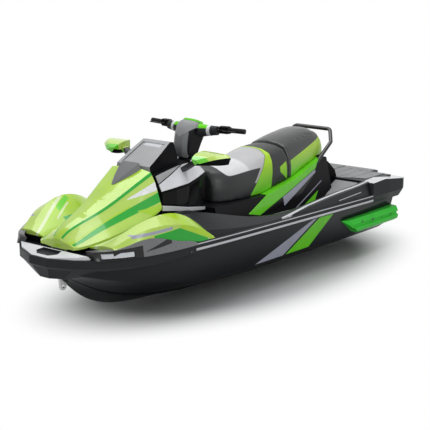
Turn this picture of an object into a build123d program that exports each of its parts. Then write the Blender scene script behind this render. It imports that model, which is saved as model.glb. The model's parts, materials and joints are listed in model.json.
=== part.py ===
from build123d import *
import math
import os

os.makedirs("parts", exist_ok=True)

# All sizes in mm. x runs to the bow, y to port, z up from the waterline amidships.
LENGTH = 3580
HALF_BEAM = 597
DRAFT = 280

# The tables below are drawn for these two sizes and stretch with the ones above.
DRAWN_LENGTH = 3580
DRAWN_HALF_BEAM = 597
LONG = LENGTH / DRAWN_LENGTH
WIDE = HALF_BEAM / DRAWN_HALF_BEAM

# Heights of the moulding join, fore deck and rear platform.
BOND_Z = 172
BOND_PITCH = 1.0
FLOOR_SKIN = 8
DECK_Z = 230
PLATFORM_Z = 290
TRIM = 6
MAT = 6
SHUT = 0.6
RUN_GAP = 0.05

# Jet pump.
PUMP_Z = -135
DUCT_R = 86
HOUSING_R = 96
IMPELLER_R = 81
HUB_R = 38
SHAFT_R = 14
BLADES = 3
VANES = 6
PIN_R = 8
SHEET = 8
BUCKET_R = 186
BUCKET_HALF = 105
BUCKET_SWEEP = (25, 95)
EYE_R = 11

# Steering column, leaning aft, and the bar on it.
COLUMN_X = 352
COLUMN_Z = 640
COLUMN_LEAN = 20
COLUMN_R = 24
BAR_R = 14
GRIP_R = 18
SLEEVE_R = 23
SLEEVE = 74

# Hood hinge pin.
HINGE_X = 1578
HINGE_Z = 248
HINGE_R = 6
HOOD_SKIN = 16

BOND = Plane(origin=(0, 0, BOND_Z), x_dir=(1, 0, 0), z_dir=(0, 0, 1)).rotated((0, -BOND_PITCH, 0))
FLOOR = BOND.offset(FLOOR_SKIN)
COLUMN = Plane(origin=(COLUMN_X * LONG, 0, COLUMN_Z), z_dir=(0, 0, 1)).rotated((0, -COLUMN_LEAN, 0))


def station(x):
    """Cross-section plane at x: its own x runs to port and its y runs up."""
    return Plane(origin=(x * LONG, 0, 0), x_dir=(0, 1, 0), z_dir=(1, 0, 0))


def plan(points):
    return [(x * LONG, y * WIDE) for x, y in points]


def side(points):
    return [(x * LONG, z) for x, z in points]


def cross(points):
    return [(y * WIDE, z) for y, z in points]


def both_sides(half):
    """Closed outline of a symmetric cross-section from its port half."""
    return cross(half + [(-y, z) for y, z in reversed(half) if y])


def both_plans(half):
    """Closed plan outline from its port half."""
    return plan(half + [(x, -y) for x, y in reversed(half) if y])


def drawn(plane, points):
    with BuildSketch(plane) as shape:
        with BuildLine():
            Polyline(points, close=True)
        make_face()
    return shape.sketch


def write(shape, name):
    shape.label = name
    export_step(shape, f"parts/{name}.step")


def pair(port):
    """The port piece and its mirror image, as one compound of two solids."""
    return Compound(children=[port, mirror(port, about=Plane.XZ)])


def largest(part):
    return part.solids().sort_by(SortBy.VOLUME)[-1]


# Hull form: keel, lifting strake, lower and upper chine, flared side.
# x, keel rise, lower chine y z, upper chine y z, side y at the top of the loft
HULL_TOP = 320
STRAKE_AT = 0.5
STRAKE_STEP = 0.055
HULL_ROWS = [
    (-1640, 0, 408, -152, 484, -96, 586),
    (-1300, 0, 418, -150, 494, -92, 606),
    (-960, 0, 424, -148, 499, -89, 615),
    (-620, 0, 425, -147, 500, -88, 617),
    (-280, 0, 425, -146, 500, -88, 618),
    (60, 0, 424, -144, 500, -86, 618),
    (400, 3, 420, -134, 497, -79, 616),
    (700, 10, 411, -116, 491, -64, 610),
    (960, 28, 388, -84, 474, -28, 596),
    (1180, 70, 340, -42, 432, 8, 564),
    (1370, 150, 266, 6, 358, 44, 494),
    (1530, 278, 172, 56, 256, 82, 400),
    (1690, 375, 60, 105, 110, 118, 236),
]
TRANSOM_X = HULL_ROWS[0][0] * LONG
hull_faces = []
for x, rise, low_y, low_z, up_y, up_z, top_y in HULL_ROWS:
    keel_z = rise - DRAFT
    strake_z = keel_z + STRAKE_AT * (low_z - keel_z)
    lip_z = strake_z + STRAKE_STEP * (low_z - keel_z)
    half = [(0, keel_z), (STRAKE_AT * low_y, strake_z), ((STRAKE_AT + STRAKE_STEP) * low_y, strake_z),
            ((STRAKE_AT + STRAKE_STEP) * low_y, lip_z), (low_y, low_z), (up_y, up_z),
            (top_y, HULL_TOP), (0, HULL_TOP)]
    hull_faces.append(drawn(station(x), both_sides(half)).face())
with BuildPart() as hull_form:
    loft(hull_faces)
    split(bisect_by=BOND, keep=Keep.BOTTOM)

# Boxes inside the hull: x from, x to, half width, floor z
ENGINE_BAY = (-640, 120, 235, -120)
SUMP_BAY = (-640, 120, 110, -180)
ENGINE_BLOCK = (-620, 100, 215, -105)
ENGINE_SUMP = (-620, 100, 95, -180)
ENGINE_TOP = 222
BIN_BAY = (1004, 1486, 196, 79)
BIN_BOX = (1010, 1480, 190, 85)


def box_face(row):
    back, front, half_y, floor_z = row
    return drawn(Plane.XY.offset(floor_z), both_plans([(back, half_y), (front, half_y)]))


TUNNEL_FRONT = -1090 * LONG
TUNNEL_HALF = 175
TUNNEL_ARCH_Z = -70
DUCT_HALF = 100
with BuildPart() as hull:
    add(hull_form.part)
    for bay in (ENGINE_BAY, SUMP_BAY, BIN_BAY):
        extrude(box_face(bay), amount=600, mode=Mode.SUBTRACT)
    # pump tunnel, arched and open at the transom
    with BuildSketch(Plane(origin=(TUNNEL_FRONT, 0, 0), x_dir=(0, 1, 0), z_dir=(1, 0, 0))):
        with BuildLine():
            Polyline((-TUNNEL_HALF, TUNNEL_ARCH_Z), (-TUNNEL_HALF, -2 * DRAFT), (TUNNEL_HALF, -2 * DRAFT),
                     (TUNNEL_HALF, TUNNEL_ARCH_Z))
            ThreePointArc((TUNNEL_HALF, TUNNEL_ARCH_Z), (0, TUNNEL_ARCH_Z + TUNNEL_HALF),
                          (-TUNNEL_HALF, TUNNEL_ARCH_Z))
        make_face()
    extrude(amount=TRANSOM_X - TUNNEL_FRONT - 100, mode=Mode.SUBTRACT)
    # sloping intake duct and its round throat
    duct_top = PUMP_Z + DUCT_R - 10
    duct = [(TUNNEL_FRONT + 470, -2 * DRAFT), (TUNNEL_FRONT + 470, -DRAFT + 5),
            (TUNNEL_FRONT + 130, duct_top),
            (TUNNEL_FRONT + 80, duct_top), (TUNNEL_FRONT + 80, -DRAFT + 40), (TUNNEL_FRONT + 40, -2 * DRAFT)]
    extrude(drawn(Plane.XZ, duct), amount=DUCT_HALF, both=True, mode=Mode.SUBTRACT)
    with BuildSketch(Plane(origin=(TUNNEL_FRONT, 0, PUMP_Z), x_dir=(0, 1, 0), z_dir=(1, 0, 0))):
        Circle(DUCT_R)
    extrude(amount=100, mode=Mode.SUBTRACT)
    # shaft bearing bore through to the engine bay
    with BuildSketch(Plane(origin=(TUNNEL_FRONT + 130, 0, PUMP_Z), x_dir=(0, 1, 0), z_dir=(1, 0, 0))):
        Circle(SHAFT_R + RUN_GAP)
    extrude(amount=400, mode=Mode.SUBTRACT)
write(hull.part, "hull")

with BuildPart() as engine:
    extrude(box_face(ENGINE_BLOCK), amount=ENGINE_TOP - ENGINE_BLOCK[3])
    extrude(box_face(ENGINE_SUMP), amount=ENGINE_BLOCK[3] - ENGINE_SUMP[3])
write(engine.part, "engine")

# Deck moulding on the bond plane: gunwale crests round a foot tray, fore deck, rear platform.
# x, side y low down, outer edge y z, crest y z
DECK_FOOT = 100
DECK_ROWS = [
    (-1255, 588, 548, 302, 515, 308),
    (-920, 592, 556, 282, 524, 289),
    (-580, 594, 562, 263, 530, 271),
    (-240, 596, 568, 240, 530, 250),
    (80, 596, 569, 232, 512, 262),
    (360, 594, 564, 248, 474, 312),
    (620, 590, 556, 278, 442, 372),
    (860, 575, 480, 300, 335, 380),
]
deck_faces = []
for x, side_y, edge_y, edge_z, crest_y, crest_z in DECK_ROWS:
    half = [(0, DECK_FOOT), (side_y, DECK_FOOT), (edge_y, edge_z), (crest_y, crest_z), (0, crest_z)]
    deck_faces.append(drawn(station(x), both_sides(half)).face())
FORE_PLAN = [(860, 566), (1050, 548), (1240, 508), (1400, 452), (1560, 352), (1690, 214)]
FORE_SEAM = 930
CAP_FRONT = -1255
CAP_INNER = 480
REAR_PLAN = [(CAP_FRONT, CAP_INNER), (-1690, CAP_INNER), (-1690, 300), (-1780, 300)]
TRAY_PLAN = [(645, 395), (360, 450), (80, 488), (-240, 505), (-580, 506), (-920, 500), (-1240, 490)]
TRAY_SIDE = [(645, 700), (645, DECK_FOOT), (-950, DECK_FOOT), (-950, 164), (-1240, PLATFORM_Z), (-1240, 700)]
with BuildPart() as deck_form:
    loft(deck_faces)
    split(bisect_by=BOND, keep=Keep.TOP)
with BuildPart() as ends_form:
    extrude(drawn(Plane.XY.offset(DECK_FOOT), both_plans(FORE_PLAN)), amount=DECK_Z - DECK_FOOT)
    extrude(drawn(Plane.XY.offset(DECK_FOOT), both_plans(REAR_PLAN)), amount=PLATFORM_Z - DECK_FOOT)
    split(bisect_by=BOND, keep=Keep.TOP)
with BuildPart() as tray:
    extrude(drawn(Plane.XY, both_plans(TRAY_PLAN)), amount=700)
    extrude(drawn(Plane.XZ, side(TRAY_SIDE)), amount=HALF_BEAM, both=True, mode=Mode.INTERSECT)
    split(bisect_by=FLOOR, keep=Keep.TOP)
with BuildPart() as deck:
    add(deck_form.part)
    extrude(drawn(Plane.XY.offset(DECK_Z), both_plans([(640, 300), (900, 300)])), amount=400,
            mode=Mode.SUBTRACT)
    add(ends_form.part)
    add(tray.part, mode=Mode.SUBTRACT)
    for bay in (ENGINE_BAY, BIN_BAY):
        extrude(box_face(bay), amount=600, mode=Mode.SUBTRACT)
# the fore deck under the hood is a panel of its own
write(Compound(children=split(deck.part, bisect_by=station(FORE_SEAM), keep=Keep.BOTH).solids()), "deck")

back, front, half_y, floor_z = BIN_BOX
with BuildPart() as storage_bin:
    extrude(box_face(BIN_BOX), amount=DECK_Z - floor_z)
    extrude(box_face((back - 20, front + 20, half_y + 20, DECK_Z)), amount=TRIM)
    extrude(box_face((back + TRIM, front - TRIM, half_y - TRIM, floor_z + TRIM)), amount=400,
            mode=Mode.SUBTRACT)
write(storage_bin.part, "storage_bin")

# Rub rails over the bond line, with a groove along the middle. x, rail outer y
RAIL_ROWS = [(-1250, 594), (-890, 597), (-530, 597), (-170, 597), (190, 597), (550, 594), (905, 583)]
RAIL_PROFILE = [(-60, -4), (-4, -4), (0, 4), (0, 20), (-7, 24), (-7, 36), (-2, 40), (-4, 54), (-60, 54)]
rail_faces = []
for x, outer_y in RAIL_ROWS:
    foot_z = BOND_Z + x * LONG * math.tan(math.radians(BOND_PITCH))
    points = [(outer_y + out, foot_z + rise) for out, rise in RAIL_PROFILE]
    rail_faces.append(drawn(station(x), cross(points)).face())
with BuildPart() as rail_port:
    loft(rail_faces)
    for form in (hull_form, deck_form, ends_form):
        add(form.part, mode=Mode.SUBTRACT)
write(pair(rail_port.part), "rub_rails")

# Bow bumper: a band round the nose with a deeper beak under it.
BUMPER_PLAN = [(908, 586), (1060, 572), (1260, 538), (1420, 486), (1560, 408), (1690, 258), (1768, 80)]
BEAK_TOP_PLAN = [(1420, 300), (1520, 380), (1690, 250), (1762, 78)]
BEAK_FOOT_PLAN = [(1480, 120), (1560, 190), (1670, 130), (1716, 40)]
BUMPER_FOOT = 158
BEAK_FOOT = 84
with BuildPart() as bow_bumper:
    extrude(drawn(Plane.XY.offset(BUMPER_FOOT), both_plans(BUMPER_PLAN)), amount=DECK_Z - BUMPER_FOOT)
    chamfer(bow_bumper.edges().group_by(Axis.Z)[0].sort_by(Axis.X)[1:], length=18)
    loft([drawn(Plane.XY.offset(BEAK_FOOT), both_plans(BEAK_FOOT_PLAN)).face(),
          drawn(Plane.XY.offset(BUMPER_FOOT + 20), both_plans(BEAK_TOP_PLAN)).face()])
    for form in (hull_form, deck_form, ends_form, rail_port):
        add(form.part, mode=Mode.SUBTRACT)
    add(mirror(rail_port.part, about=Plane.XZ), mode=Mode.SUBTRACT)
write(largest(bow_bumper.part), "bow_bumper")

# Side fairings over the fore deck. x, valley y z, crest y z, crease y z, lower edge y z
FAIRING_ROWS = [
    (1520, 215, 282, 330, 306, 408, 306, 436, 296),
    (1410, 232, 292, 390, 366, 460, 356, 484, 322),
    (1290, 250, 310, 432, 424, 505, 394, 522, 340),
    (1150, 272, 340, 462, 455, 540, 402, 550, 314),
    (1000, 300, 350, 472, 445, 556, 380, 566, 275),
    (850, 340, 300, 484, 384, 564, 330, 576, 242),
    (705, 430, 236, 522, 254, 568, 248, 581, 234),
]
fairing_faces = []
for x, valley_y, valley_z, crest_y, crest_z, crease_y, crease_z, low_y, low_z in FAIRING_ROWS:
    points = [(valley_y, DECK_Z), (low_y - 12, DECK_Z), (low_y, low_z), (crease_y, crease_z),
              (crest_y, crest_z),
              (valley_y, valley_z)]
    fairing_faces.append(drawn(station(x), cross(points)).face())
with BuildPart() as fairing_port:
    loft(fairing_faces)
    add(deck_form.part, mode=Mode.SUBTRACT)
    add(rail_port.part, mode=Mode.SUBTRACT)
write(pair(largest(fairing_port.part)), "fairings")

# Chin plate over the bumper at the nose, with a scoop let into it.
CHIN_PLAN = [(1758, 72), (1686, 242), (1627, 312), (1607, 314)]
CHIN_CUT = [(1820, 226), (1735, 238), (1632, 256), (1606, 234), (1606, 400), (1820, 400)]
SCOOP_PLAN = [(1728, 52), (1690, 96), (1640, 84)]
with BuildPart() as chin_plate:
    extrude(drawn(Plane.XY.offset(DECK_Z), both_plans(CHIN_PLAN)), amount=120)
    extrude(drawn(Plane.XZ, side(CHIN_CUT)), amount=HALF_BEAM, both=True, mode=Mode.SUBTRACT)
    extrude(drawn(Plane.XY.offset(DECK_Z + TRIM), both_plans(SCOOP_PLAN)), amount=120, mode=Mode.SUBTRACT)
write(chin_plate.part, "chin_plate")

# Lamp panels wrap the bow side under the fairings, each with a lamp let in.
# x, foot y, top y z
LAMP_ROWS = [(1612, 372, 330, 280), (1520, 446, 440, 295), (1410, 500, 488, 321), (1290, 540, 526, 339),
             (1150, 568, 554, 312), (1000, 584, 572, 274), (890, 590, 580, 240)]
RECESS_Z = (240, 272)
LENS_X = (1590, 1500, 1400)
LENS_FACE_Y = (378, 449, 500)


def flank_faces(rows, depth):
    return [drawn(station(x), cross([(foot_y - depth, DECK_Z), (foot_y, DECK_Z), (top_y, top_z),
                                     (top_y - depth, top_z)]))
            .face() for x, foot_y, top_y, top_z in rows]


def lens_faces(inset, reach, grow):
    return [drawn(station(x), cross([(y - inset, RECESS_Z[0] - grow), (y + reach, RECESS_Z[0] - grow),
                                     (y + reach - 6, RECESS_Z[1] + grow),
                                     (y - inset, RECESS_Z[1] + grow)])).face()
            for x, y in zip(LENS_X, LENS_FACE_Y)]


with BuildPart() as lamp_panel_port:
    loft(flank_faces(LAMP_ROWS, 60))
    add(fairing_port.part, mode=Mode.SUBTRACT)
    add(deck_form.part, mode=Mode.SUBTRACT)
    add(rail_port.part, mode=Mode.SUBTRACT)
    add(chin_plate.part, mode=Mode.SUBTRACT)
    loft(lens_faces(20, 40, 4), mode=Mode.SUBTRACT)
write(pair(largest(lamp_panel_port.part)), "lamp_panels")
with BuildPart() as lamp_port:
    loft(lens_faces(20, -5, 0))
    add(lamp_panel_port.part, mode=Mode.SUBTRACT)
    add(fairing_port.part, mode=Mode.SUBTRACT)
write(pair(largest(lamp_port.part)), "lamps")

# Hood: a lid hinged under its front lip, with a raised crown and a crease along each side.
# x, centre z, crown y z, ridge y z, lower y z, depth of the lip at the crown and at the ridge
HOOD_ROWS = [
    (1600, 316, 40, 312, 118, 292, 152, 278, 58, 30),
    (1530, 378, 48, 370, 128, 324, 196, 286, 20, 16),
    (1410, 428, 72, 418, 138, 364, 216, 300, 16, 16),
    (1280, 482, 98, 468, 152, 410, 236, 322, 16, 16),
    (1140, 556, 128, 536, 172, 474, 256, 350, 16, 16),
    (1010, 628, 154, 606, 196, 544, 270, 390, 16, 16),
    (900, 690, 176, 664, 216, 606, 278, 440, 16, 16),
]
CROWN_STEP = 7
hood_faces = []
for x, mid_z, crown_y, crown_z, ridge_y, ridge_z, low_y, low_z, lip, brow in HOOD_ROWS:
    over = [(low_y, low_z), (ridge_y, ridge_z), (crown_y + CROWN_STEP, crown_z - CROWN_STEP),
            (crown_y, crown_z)]
    under = [(0, mid_z - lip), (crown_y, crown_z - lip), (ridge_y, ridge_z - brow),
             (low_y, low_z - HOOD_SKIN)]
    hood_faces.append(drawn(station(x), both_sides(under + over + [(0, mid_z)])).face())
HINGE_AT = (HINGE_X * LONG, HINGE_Z)
with BuildPart() as hood:
    loft(hood_faces)
    # hinge lugs under the front edge
    lug = side([(HINGE_X - 12, HINGE_Z), (HINGE_X + 12, HINGE_Z), (HINGE_X + 8, HINGE_Z + 52),
                (HINGE_X - 8, HINGE_Z + 52)])
    for way in (1, -1):
        with BuildSketch(Plane.XZ.offset(-way * 40)):
            with Locations(HINGE_AT):
                Circle(2 * HINGE_R)
            add(drawn(Plane.XY, lug))
        extrude(amount=-way * 16)
    with BuildSketch(Plane.XZ):
        with Locations(HINGE_AT):
            Circle(HINGE_R + RUN_GAP)
    extrude(amount=100, both=True, mode=Mode.SUBTRACT)
write(hood.part, "hood")
with BuildPart() as hood_hinge:
    with BuildSketch(Plane.XZ):
        with Locations(HINGE_AT):
            Circle(HINGE_R)
    extrude(amount=70, both=True)
    for way in (1, -1):
        with BuildSketch(Plane.XY.offset(DECK_Z)):
            with Locations((HINGE_AT[0], way * 66)):
                Rectangle(16, 10)
        extrude(amount=HINGE_Z - DECK_Z + 9)
write(hood_hinge.part, "hood_hinge")

# Scoop on the hood in front of the visor. x, half width, foot z, top z
SCOOP_ROWS = [(1085, 10, 560, 590), (1000, 66, 590, 652), (902, 112, 630, 716)]
with BuildPart() as hood_scoop:
    loft([drawn(station(x), cross([(-half_y, foot_z), (half_y, foot_z), (0.7 * half_y, top_z),
                                   (-0.7 * half_y, top_z)]))
          .face() for x, half_y, foot_z, top_z in SCOOP_ROWS])
    add(hood.part, mode=Mode.SUBTRACT)
write(hood_scoop.part.solids().sort_by(Axis.Z)[-1], "hood_scoop")

# Console between hood and seat, with trim panels on its facets. x, foot y, waist y z, knee y z, top y z
CONSOLE_FOOT = 150
CONSOLE_ROWS = [
    (885, 245, 264, 452, 266, 532, 205, 640),
    (740, 245, 266, 422, 268, 538, 195, 662),
    (600, 230, 250, 390, 258, 542, 180, 676),
    (460, 200, 214, 362, 224, 560, 150, 666),
    (335, 165, 172, 335, 180, 575, 112, 628),
]


def facet(start, end, share, thick=TRIM):
    """Section of a strip lying on the facet between two section points."""
    (y0, z0), (y1, z1) = start, end
    length = math.hypot(y1 - y0, z1 - z0)
    out_y = thick * (z1 - z0) / length
    out_z = thick * (y0 - y1) / length
    inner = [(y0 + t * (y1 - y0), z0 + t * (z1 - z0)) for t in share]
    return inner + [(y + out_y, z + out_z) for y, z in reversed(inner)]


console_faces = []
panel_faces = []
knee_faces = []
blade_faces = []
for x, foot_y, waist_y, waist_z, knee_y, knee_z, top_y, top_z in CONSOLE_ROWS:
    half = [(0, CONSOLE_FOOT), (foot_y, CONSOLE_FOOT), (waist_y, waist_z), (knee_y, knee_z),
            (top_y, top_z), (0, top_z + 8)]
    console_faces.append(drawn(station(x), both_sides(half)).face())
    panel_faces.append(drawn(station(x), cross(facet((knee_y, knee_z), (top_y, top_z), (0.06, 0.97)))).face())
    knee_faces.append(drawn(station(x), cross(facet((waist_y, waist_z), (knee_y, knee_z),
                                                    (0.05, 0.96)))).face())
    blade = facet((foot_y, CONSOLE_FOOT), (waist_y, waist_z), (0.86, 0.98), 2 * TRIM)
    blade_faces.append(drawn(station(x), cross(blade)).face())
with BuildPart() as console:
    loft(console_faces, ruled=True)
    add(deck.part, mode=Mode.SUBTRACT)
    # bore for the steering column
    with BuildSketch(COLUMN.offset(-75)):
        Circle(COLUMN_R + RUN_GAP)
    extrude(amount=200, mode=Mode.SUBTRACT)
console_body = largest(console.part)
write(console_body, "console")
with BuildPart() as console_panel_port:
    loft(panel_faces, ruled=True)
write(pair(console_panel_port.part), "console_panels")
with BuildPart() as knee_panel_port:
    loft(knee_faces, ruled=True)
write(pair(knee_panel_port.part), "knee_panels")
with BuildPart() as side_blade_port:
    loft(blade_faces, ruled=True)
write(pair(side_blade_port.part), "side_blades")

# Visor over the display, standing on the console behind the hood. x, half width low, half width high, top z
VISOR_ROWS = [(878, 165, 150, 692), (760, 158, 140, 760), (640, 148, 124, 828), (600, 146, 122, 822),
              (565, 144, 134, 690)]
VISOR_FACE = Plane(origin=(759 * LONG, 0, 760), x_dir=(0, 1, 0), z_dir=(0.496, 0, 0.868))
VISOR_PANEL = [(-118, -112), (118, -112), (98, 108), (-98, 108)]
SCREEN = Plane(origin=(588 * LONG, 0, 756), x_dir=(0, 1, 0), z_dir=(-1, 0, 0.27))
with BuildPart() as visor:
    loft([drawn(station(x), cross([(-low_y, 600), (low_y, 600), (high_y, top_z), (-high_y, top_z)])).face()
          for x, low_y, high_y, top_z in VISOR_ROWS], ruled=True)
    add(console_body, mode=Mode.SUBTRACT)
    add(console_panel_port.part, mode=Mode.SUBTRACT)
    add(mirror(console_panel_port.part, about=Plane.XZ), mode=Mode.SUBTRACT)
    with BuildSketch(SCREEN.offset(-14)):
        Rectangle(190, 84)
    extrude(amount=60, mode=Mode.SUBTRACT)
    # shallow panel let into the sloping front
    extrude(drawn(VISOR_FACE.offset(-5), [(y * WIDE, t) for y, t in VISOR_PANEL]), amount=40,
            mode=Mode.SUBTRACT)
visor_body = largest(visor.part)
write(visor_body, "visor")
with BuildPart() as display:
    with BuildSketch(SCREEN.offset(-14)):
        Rectangle(190 - 2 * SHUT, 84 - 2 * SHUT)
    extrude(amount=10)
write(display.part, "display")

# Pedestal under the seat, with coloured panels on its flanks.
PEDESTAL_SIDE = [(330, 100), (330, 330), (-260, 325), (-640, 385), (-1050, 505), (-1110, 490), (-1110, 100)]
PEDESTAL_FLANK = [(320, 100), (225, 520)]
GREEN_PANEL = [(-25, 226), (-150, 196), (-520, 300), (-930, 424), (-985, 484), (-640, 383), (-262, 322)]
BLACK_PANEL = [(-175, 200), (-480, 205), (-700, 268), (-925, 392), (-925, 418), (-520, 294)]


def flank_prism(grow):
    points = cross([(y + grow, z) for y, z in PEDESTAL_FLANK]
                   + [(-y - grow, z) for y, z in reversed(PEDESTAL_FLANK)])
    return drawn(station(340), points)


with BuildPart() as pedestal:
    extrude(drawn(Plane.XZ, side(PEDESTAL_SIDE)), amount=HALF_BEAM, both=True)
    extrude(flank_prism(0), amount=-2000 * LONG, mode=Mode.INTERSECT)
    split(bisect_by=FLOOR, keep=Keep.TOP)
    extrude(box_face(ENGINE_BAY), amount=ENGINE_TOP + 10 - ENGINE_BAY[3], mode=Mode.SUBTRACT)
    add(deck.part, mode=Mode.SUBTRACT)
    add(console_body, mode=Mode.SUBTRACT)
pedestal_body = largest(pedestal.part)
write(pedestal_body, "pedestal")


def flank_panel(points):
    with BuildPart() as panel:
        extrude(drawn(Plane.XZ, side(points)), amount=-HALF_BEAM)
        extrude(flank_prism(TRIM), amount=-2000 * LONG, mode=Mode.INTERSECT)
        extrude(flank_prism(0), amount=-2000 * LONG, mode=Mode.SUBTRACT)
        split(bisect_by=FLOOR, keep=Keep.TOP)
        add(deck.part, mode=Mode.SUBTRACT)
    return largest(panel.part)


side_panel = flank_panel(GREEN_PANEL)
write(pair(side_panel), "side_panels")
pedestal_panel = flank_panel(BLACK_PANEL)
write(pair(pedestal_panel), "pedestal_panels")

# Seats: lofted cushions. x, foot y z, crown y z
FRONT_SEAT_ROWS = [
    (205, 140, 300, 55, 540),
    (120, 200, 300, 84, 574),
    (10, 220, 300, 92, 580),
    (-100, 222, 300, 92, 578),
    (-210, 222, 300, 90, 584),
    (-320, 222, 310, 86, 610),
    (-430, 220, 330, 84, 634),
    (-535, 218, 345, 84, 642),
    (-636, 216, 360, 84, 640),
]
REAR_SEAT_ROWS = [
    (-637, 216, 360, 84, 660),
    (-740, 212, 390, 84, 684),
    (-850, 208, 425, 82, 702),
    (-960, 203, 455, 80, 716),
    (-1060, 194, 480, 76, 716),
    (-1132, 176, 490, 66, 664),
]


def cushion(rows):
    faces = []
    for x, foot_y, foot_z, crown_y, crown_z in rows:
        rise = crown_z - foot_z
        half = [(0, foot_z), (foot_y, foot_z), (foot_y - 4, foot_z + 0.45 * rise),
                (foot_y - 20, foot_z + 0.7 * rise),
                (foot_y - 56, foot_z + 0.89 * rise), (crown_y, crown_z - 6), (0, crown_z)]
        faces.append(drawn(station(x), both_sides(half)).face())
    with BuildPart() as pad:
        loft(faces)
        add(pedestal_body, mode=Mode.SUBTRACT)
        add(console_body, mode=Mode.SUBTRACT)
    return largest(pad.part)


seat_rear = cushion(REAR_SEAT_ROWS)
write(cushion(FRONT_SEAT_ROWS), "seat_front")
write(seat_rear, "seat_rear")

TAIL_SIDE = [(-1110, 100), (-1110, 462), (-1150, 448), (-1250, 366), (-1285, PLATFORM_Z), (-1285, 100)]
with BuildPart() as tail:
    extrude(drawn(Plane.XZ, side(TAIL_SIDE)), amount=225 * WIDE, both=True)
    add(deck.part, mode=Mode.SUBTRACT)
    add(seat_rear, mode=Mode.SUBTRACT)
tail_body = largest(tail.part)
write(tail_body, "tail_hump")

# Grab handle: a bent tube round the back of the rear seat.
HANDLE_R = 16
HANDLE_BEND = 40
HANDLE_PATH = [(-985, 224, 462), (-1180, 224, 600), (-1245, 170, 690)]
handle_path = [(x * LONG, y * WIDE, z) for x, y, z in HANDLE_PATH]
handle_path += [(x, -y, z) for x, y, z in reversed(handle_path)]
with BuildPart() as grab_handle:
    with BuildLine() as handle_line:
        FilletPolyline(handle_path, radius=HANDLE_BEND)
    with BuildSketch(Plane(origin=handle_line.line @ 0, z_dir=handle_line.line % 0)):
        Circle(HANDLE_R)
    sweep()
    add(pedestal_body, mode=Mode.SUBTRACT)
    for panel in (side_panel, mirror(side_panel, about=Plane.XZ)):
        add(panel, mode=Mode.SUBTRACT)
write(largest(grab_handle.part), "grab_handle")

# Traction mats on the foot tray and the rear platform, port side drawn.
FLOOR_MAT = [(600, 305), (600, 380), (360, 432), (80, 470), (-240, 487), (-580, 488), (-900, 482),
             (-900, 320), (300, 305)]
# x front at the inner and outer edge, x rear, inner y, outer y
DECK_STRIPS = [
    (-1305, -1305, -1676, 8, 104),
    (-1305, -1305, -1676, 112, 208),
    (-1310, -1356, -1676, 216, 312),
    (-1360, -1404, -1676, 320, 430),
    (-1688, -1688, -1766, 8, 286),
]
RAMP_MAT = [(-1000, 200), (-1215, 293)]
RAMP_MAT_Y = (255, 465)
mat_solids = []
with BuildPart() as floor_mat:
    extrude(drawn(FLOOR, plan(FLOOR_MAT)), amount=MAT)
    add(pedestal_body, mode=Mode.SUBTRACT)
    add(console_body, mode=Mode.SUBTRACT)
mat_solids.append(largest(floor_mat.part))
for front_in, front_out, rear, inner_y, outer_y in DECK_STRIPS:
    with BuildPart() as deck_mat:
        strip = [(front_in, inner_y), (front_out, outer_y), (rear, outer_y), (rear, inner_y)]
        extrude(drawn(Plane.XY.offset(PLATFORM_Z), plan(strip)), amount=MAT)
    mat_solids.append(largest(deck_mat.part))
with BuildPart() as ramp_mat:
    ramp = RAMP_MAT + [(x, z - 60) for x, z in reversed(RAMP_MAT)]
    extrude(drawn(Plane.XZ.offset(-RAMP_MAT_Y[0] * WIDE), side(ramp)),
            amount=(RAMP_MAT_Y[0] - RAMP_MAT_Y[1]) * WIDE)
    for piece in (deck.part, pedestal_body, tail_body, side_panel, pedestal_panel):
        add(piece, mode=Mode.SUBTRACT)
mat_solids.append(largest(ramp_mat.part))
write(Compound(children=[piece for mat in mat_solids for piece in (mat, mirror(mat, about=Plane.XZ))]),
      "traction_mats")

# Stern corner caps.
CAP_PLAN = [(CAP_FRONT - 1, CAP_INNER), (CAP_FRONT - 1, 588), (-1500, 594), (-1700, 592), (-1772, 556),
            (-1790, 470),
            (-1790, 300), (-1690, 300), (-1690, CAP_INNER)]
CAP_CUT = [(-1200, 420), (-1200, 294), (-1420, 308), (-1800, 262), (-1800, 420)]
CAP_FOOT = 126
with BuildPart() as cap_port:
    extrude(drawn(Plane.XY.offset(CAP_FOOT), plan(CAP_PLAN)), amount=200)
    outer = [e for e in cap_port.edges().group_by(Axis.Z)[0] if e.center().Y > (CAP_INNER + 20) * WIDE]
    chamfer(outer, length=60, length2=34)
    extrude(drawn(Plane.XZ, side(CAP_CUT)), amount=-2 * HALF_BEAM, mode=Mode.SUBTRACT)
    for form in (hull_form, ends_form, rail_port):
        add(form.part, mode=Mode.SUBTRACT)
write(pair(largest(cap_port.part)), "stern_caps")

# Sponsons low on the hull sides aft, tapering to a point forward.
SPONSON_PROFILE = [(470, -62), (548, -74), (588, -50), (597, -20), (580, -10), (580, 2), (594, 12),
                   (574, 52), (470, 60)]
SPONSON_NOSE = [(-1060, 640), (-868, 540), (-868, 400), (-800, 400), (-800, 640)]
SPONSON_BOW = [(-1090, -80), (-860, 62), (-800, 62), (-800, -100), (-1090, -100)]
with BuildPart() as sponson_port:
    extrude(drawn(station(-1636), cross(SPONSON_PROFILE)), amount=800 * LONG)
    extrude(drawn(Plane.XY.offset(-100), plan(SPONSON_NOSE)), amount=300, mode=Mode.SUBTRACT)
    extrude(drawn(Plane.XZ, side(SPONSON_BOW)), amount=-2 * HALF_BEAM, mode=Mode.SUBTRACT)
    add(hull_form.part, mode=Mode.SUBTRACT)
write(pair(largest(sponson_port.part)), "sponsons")

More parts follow.
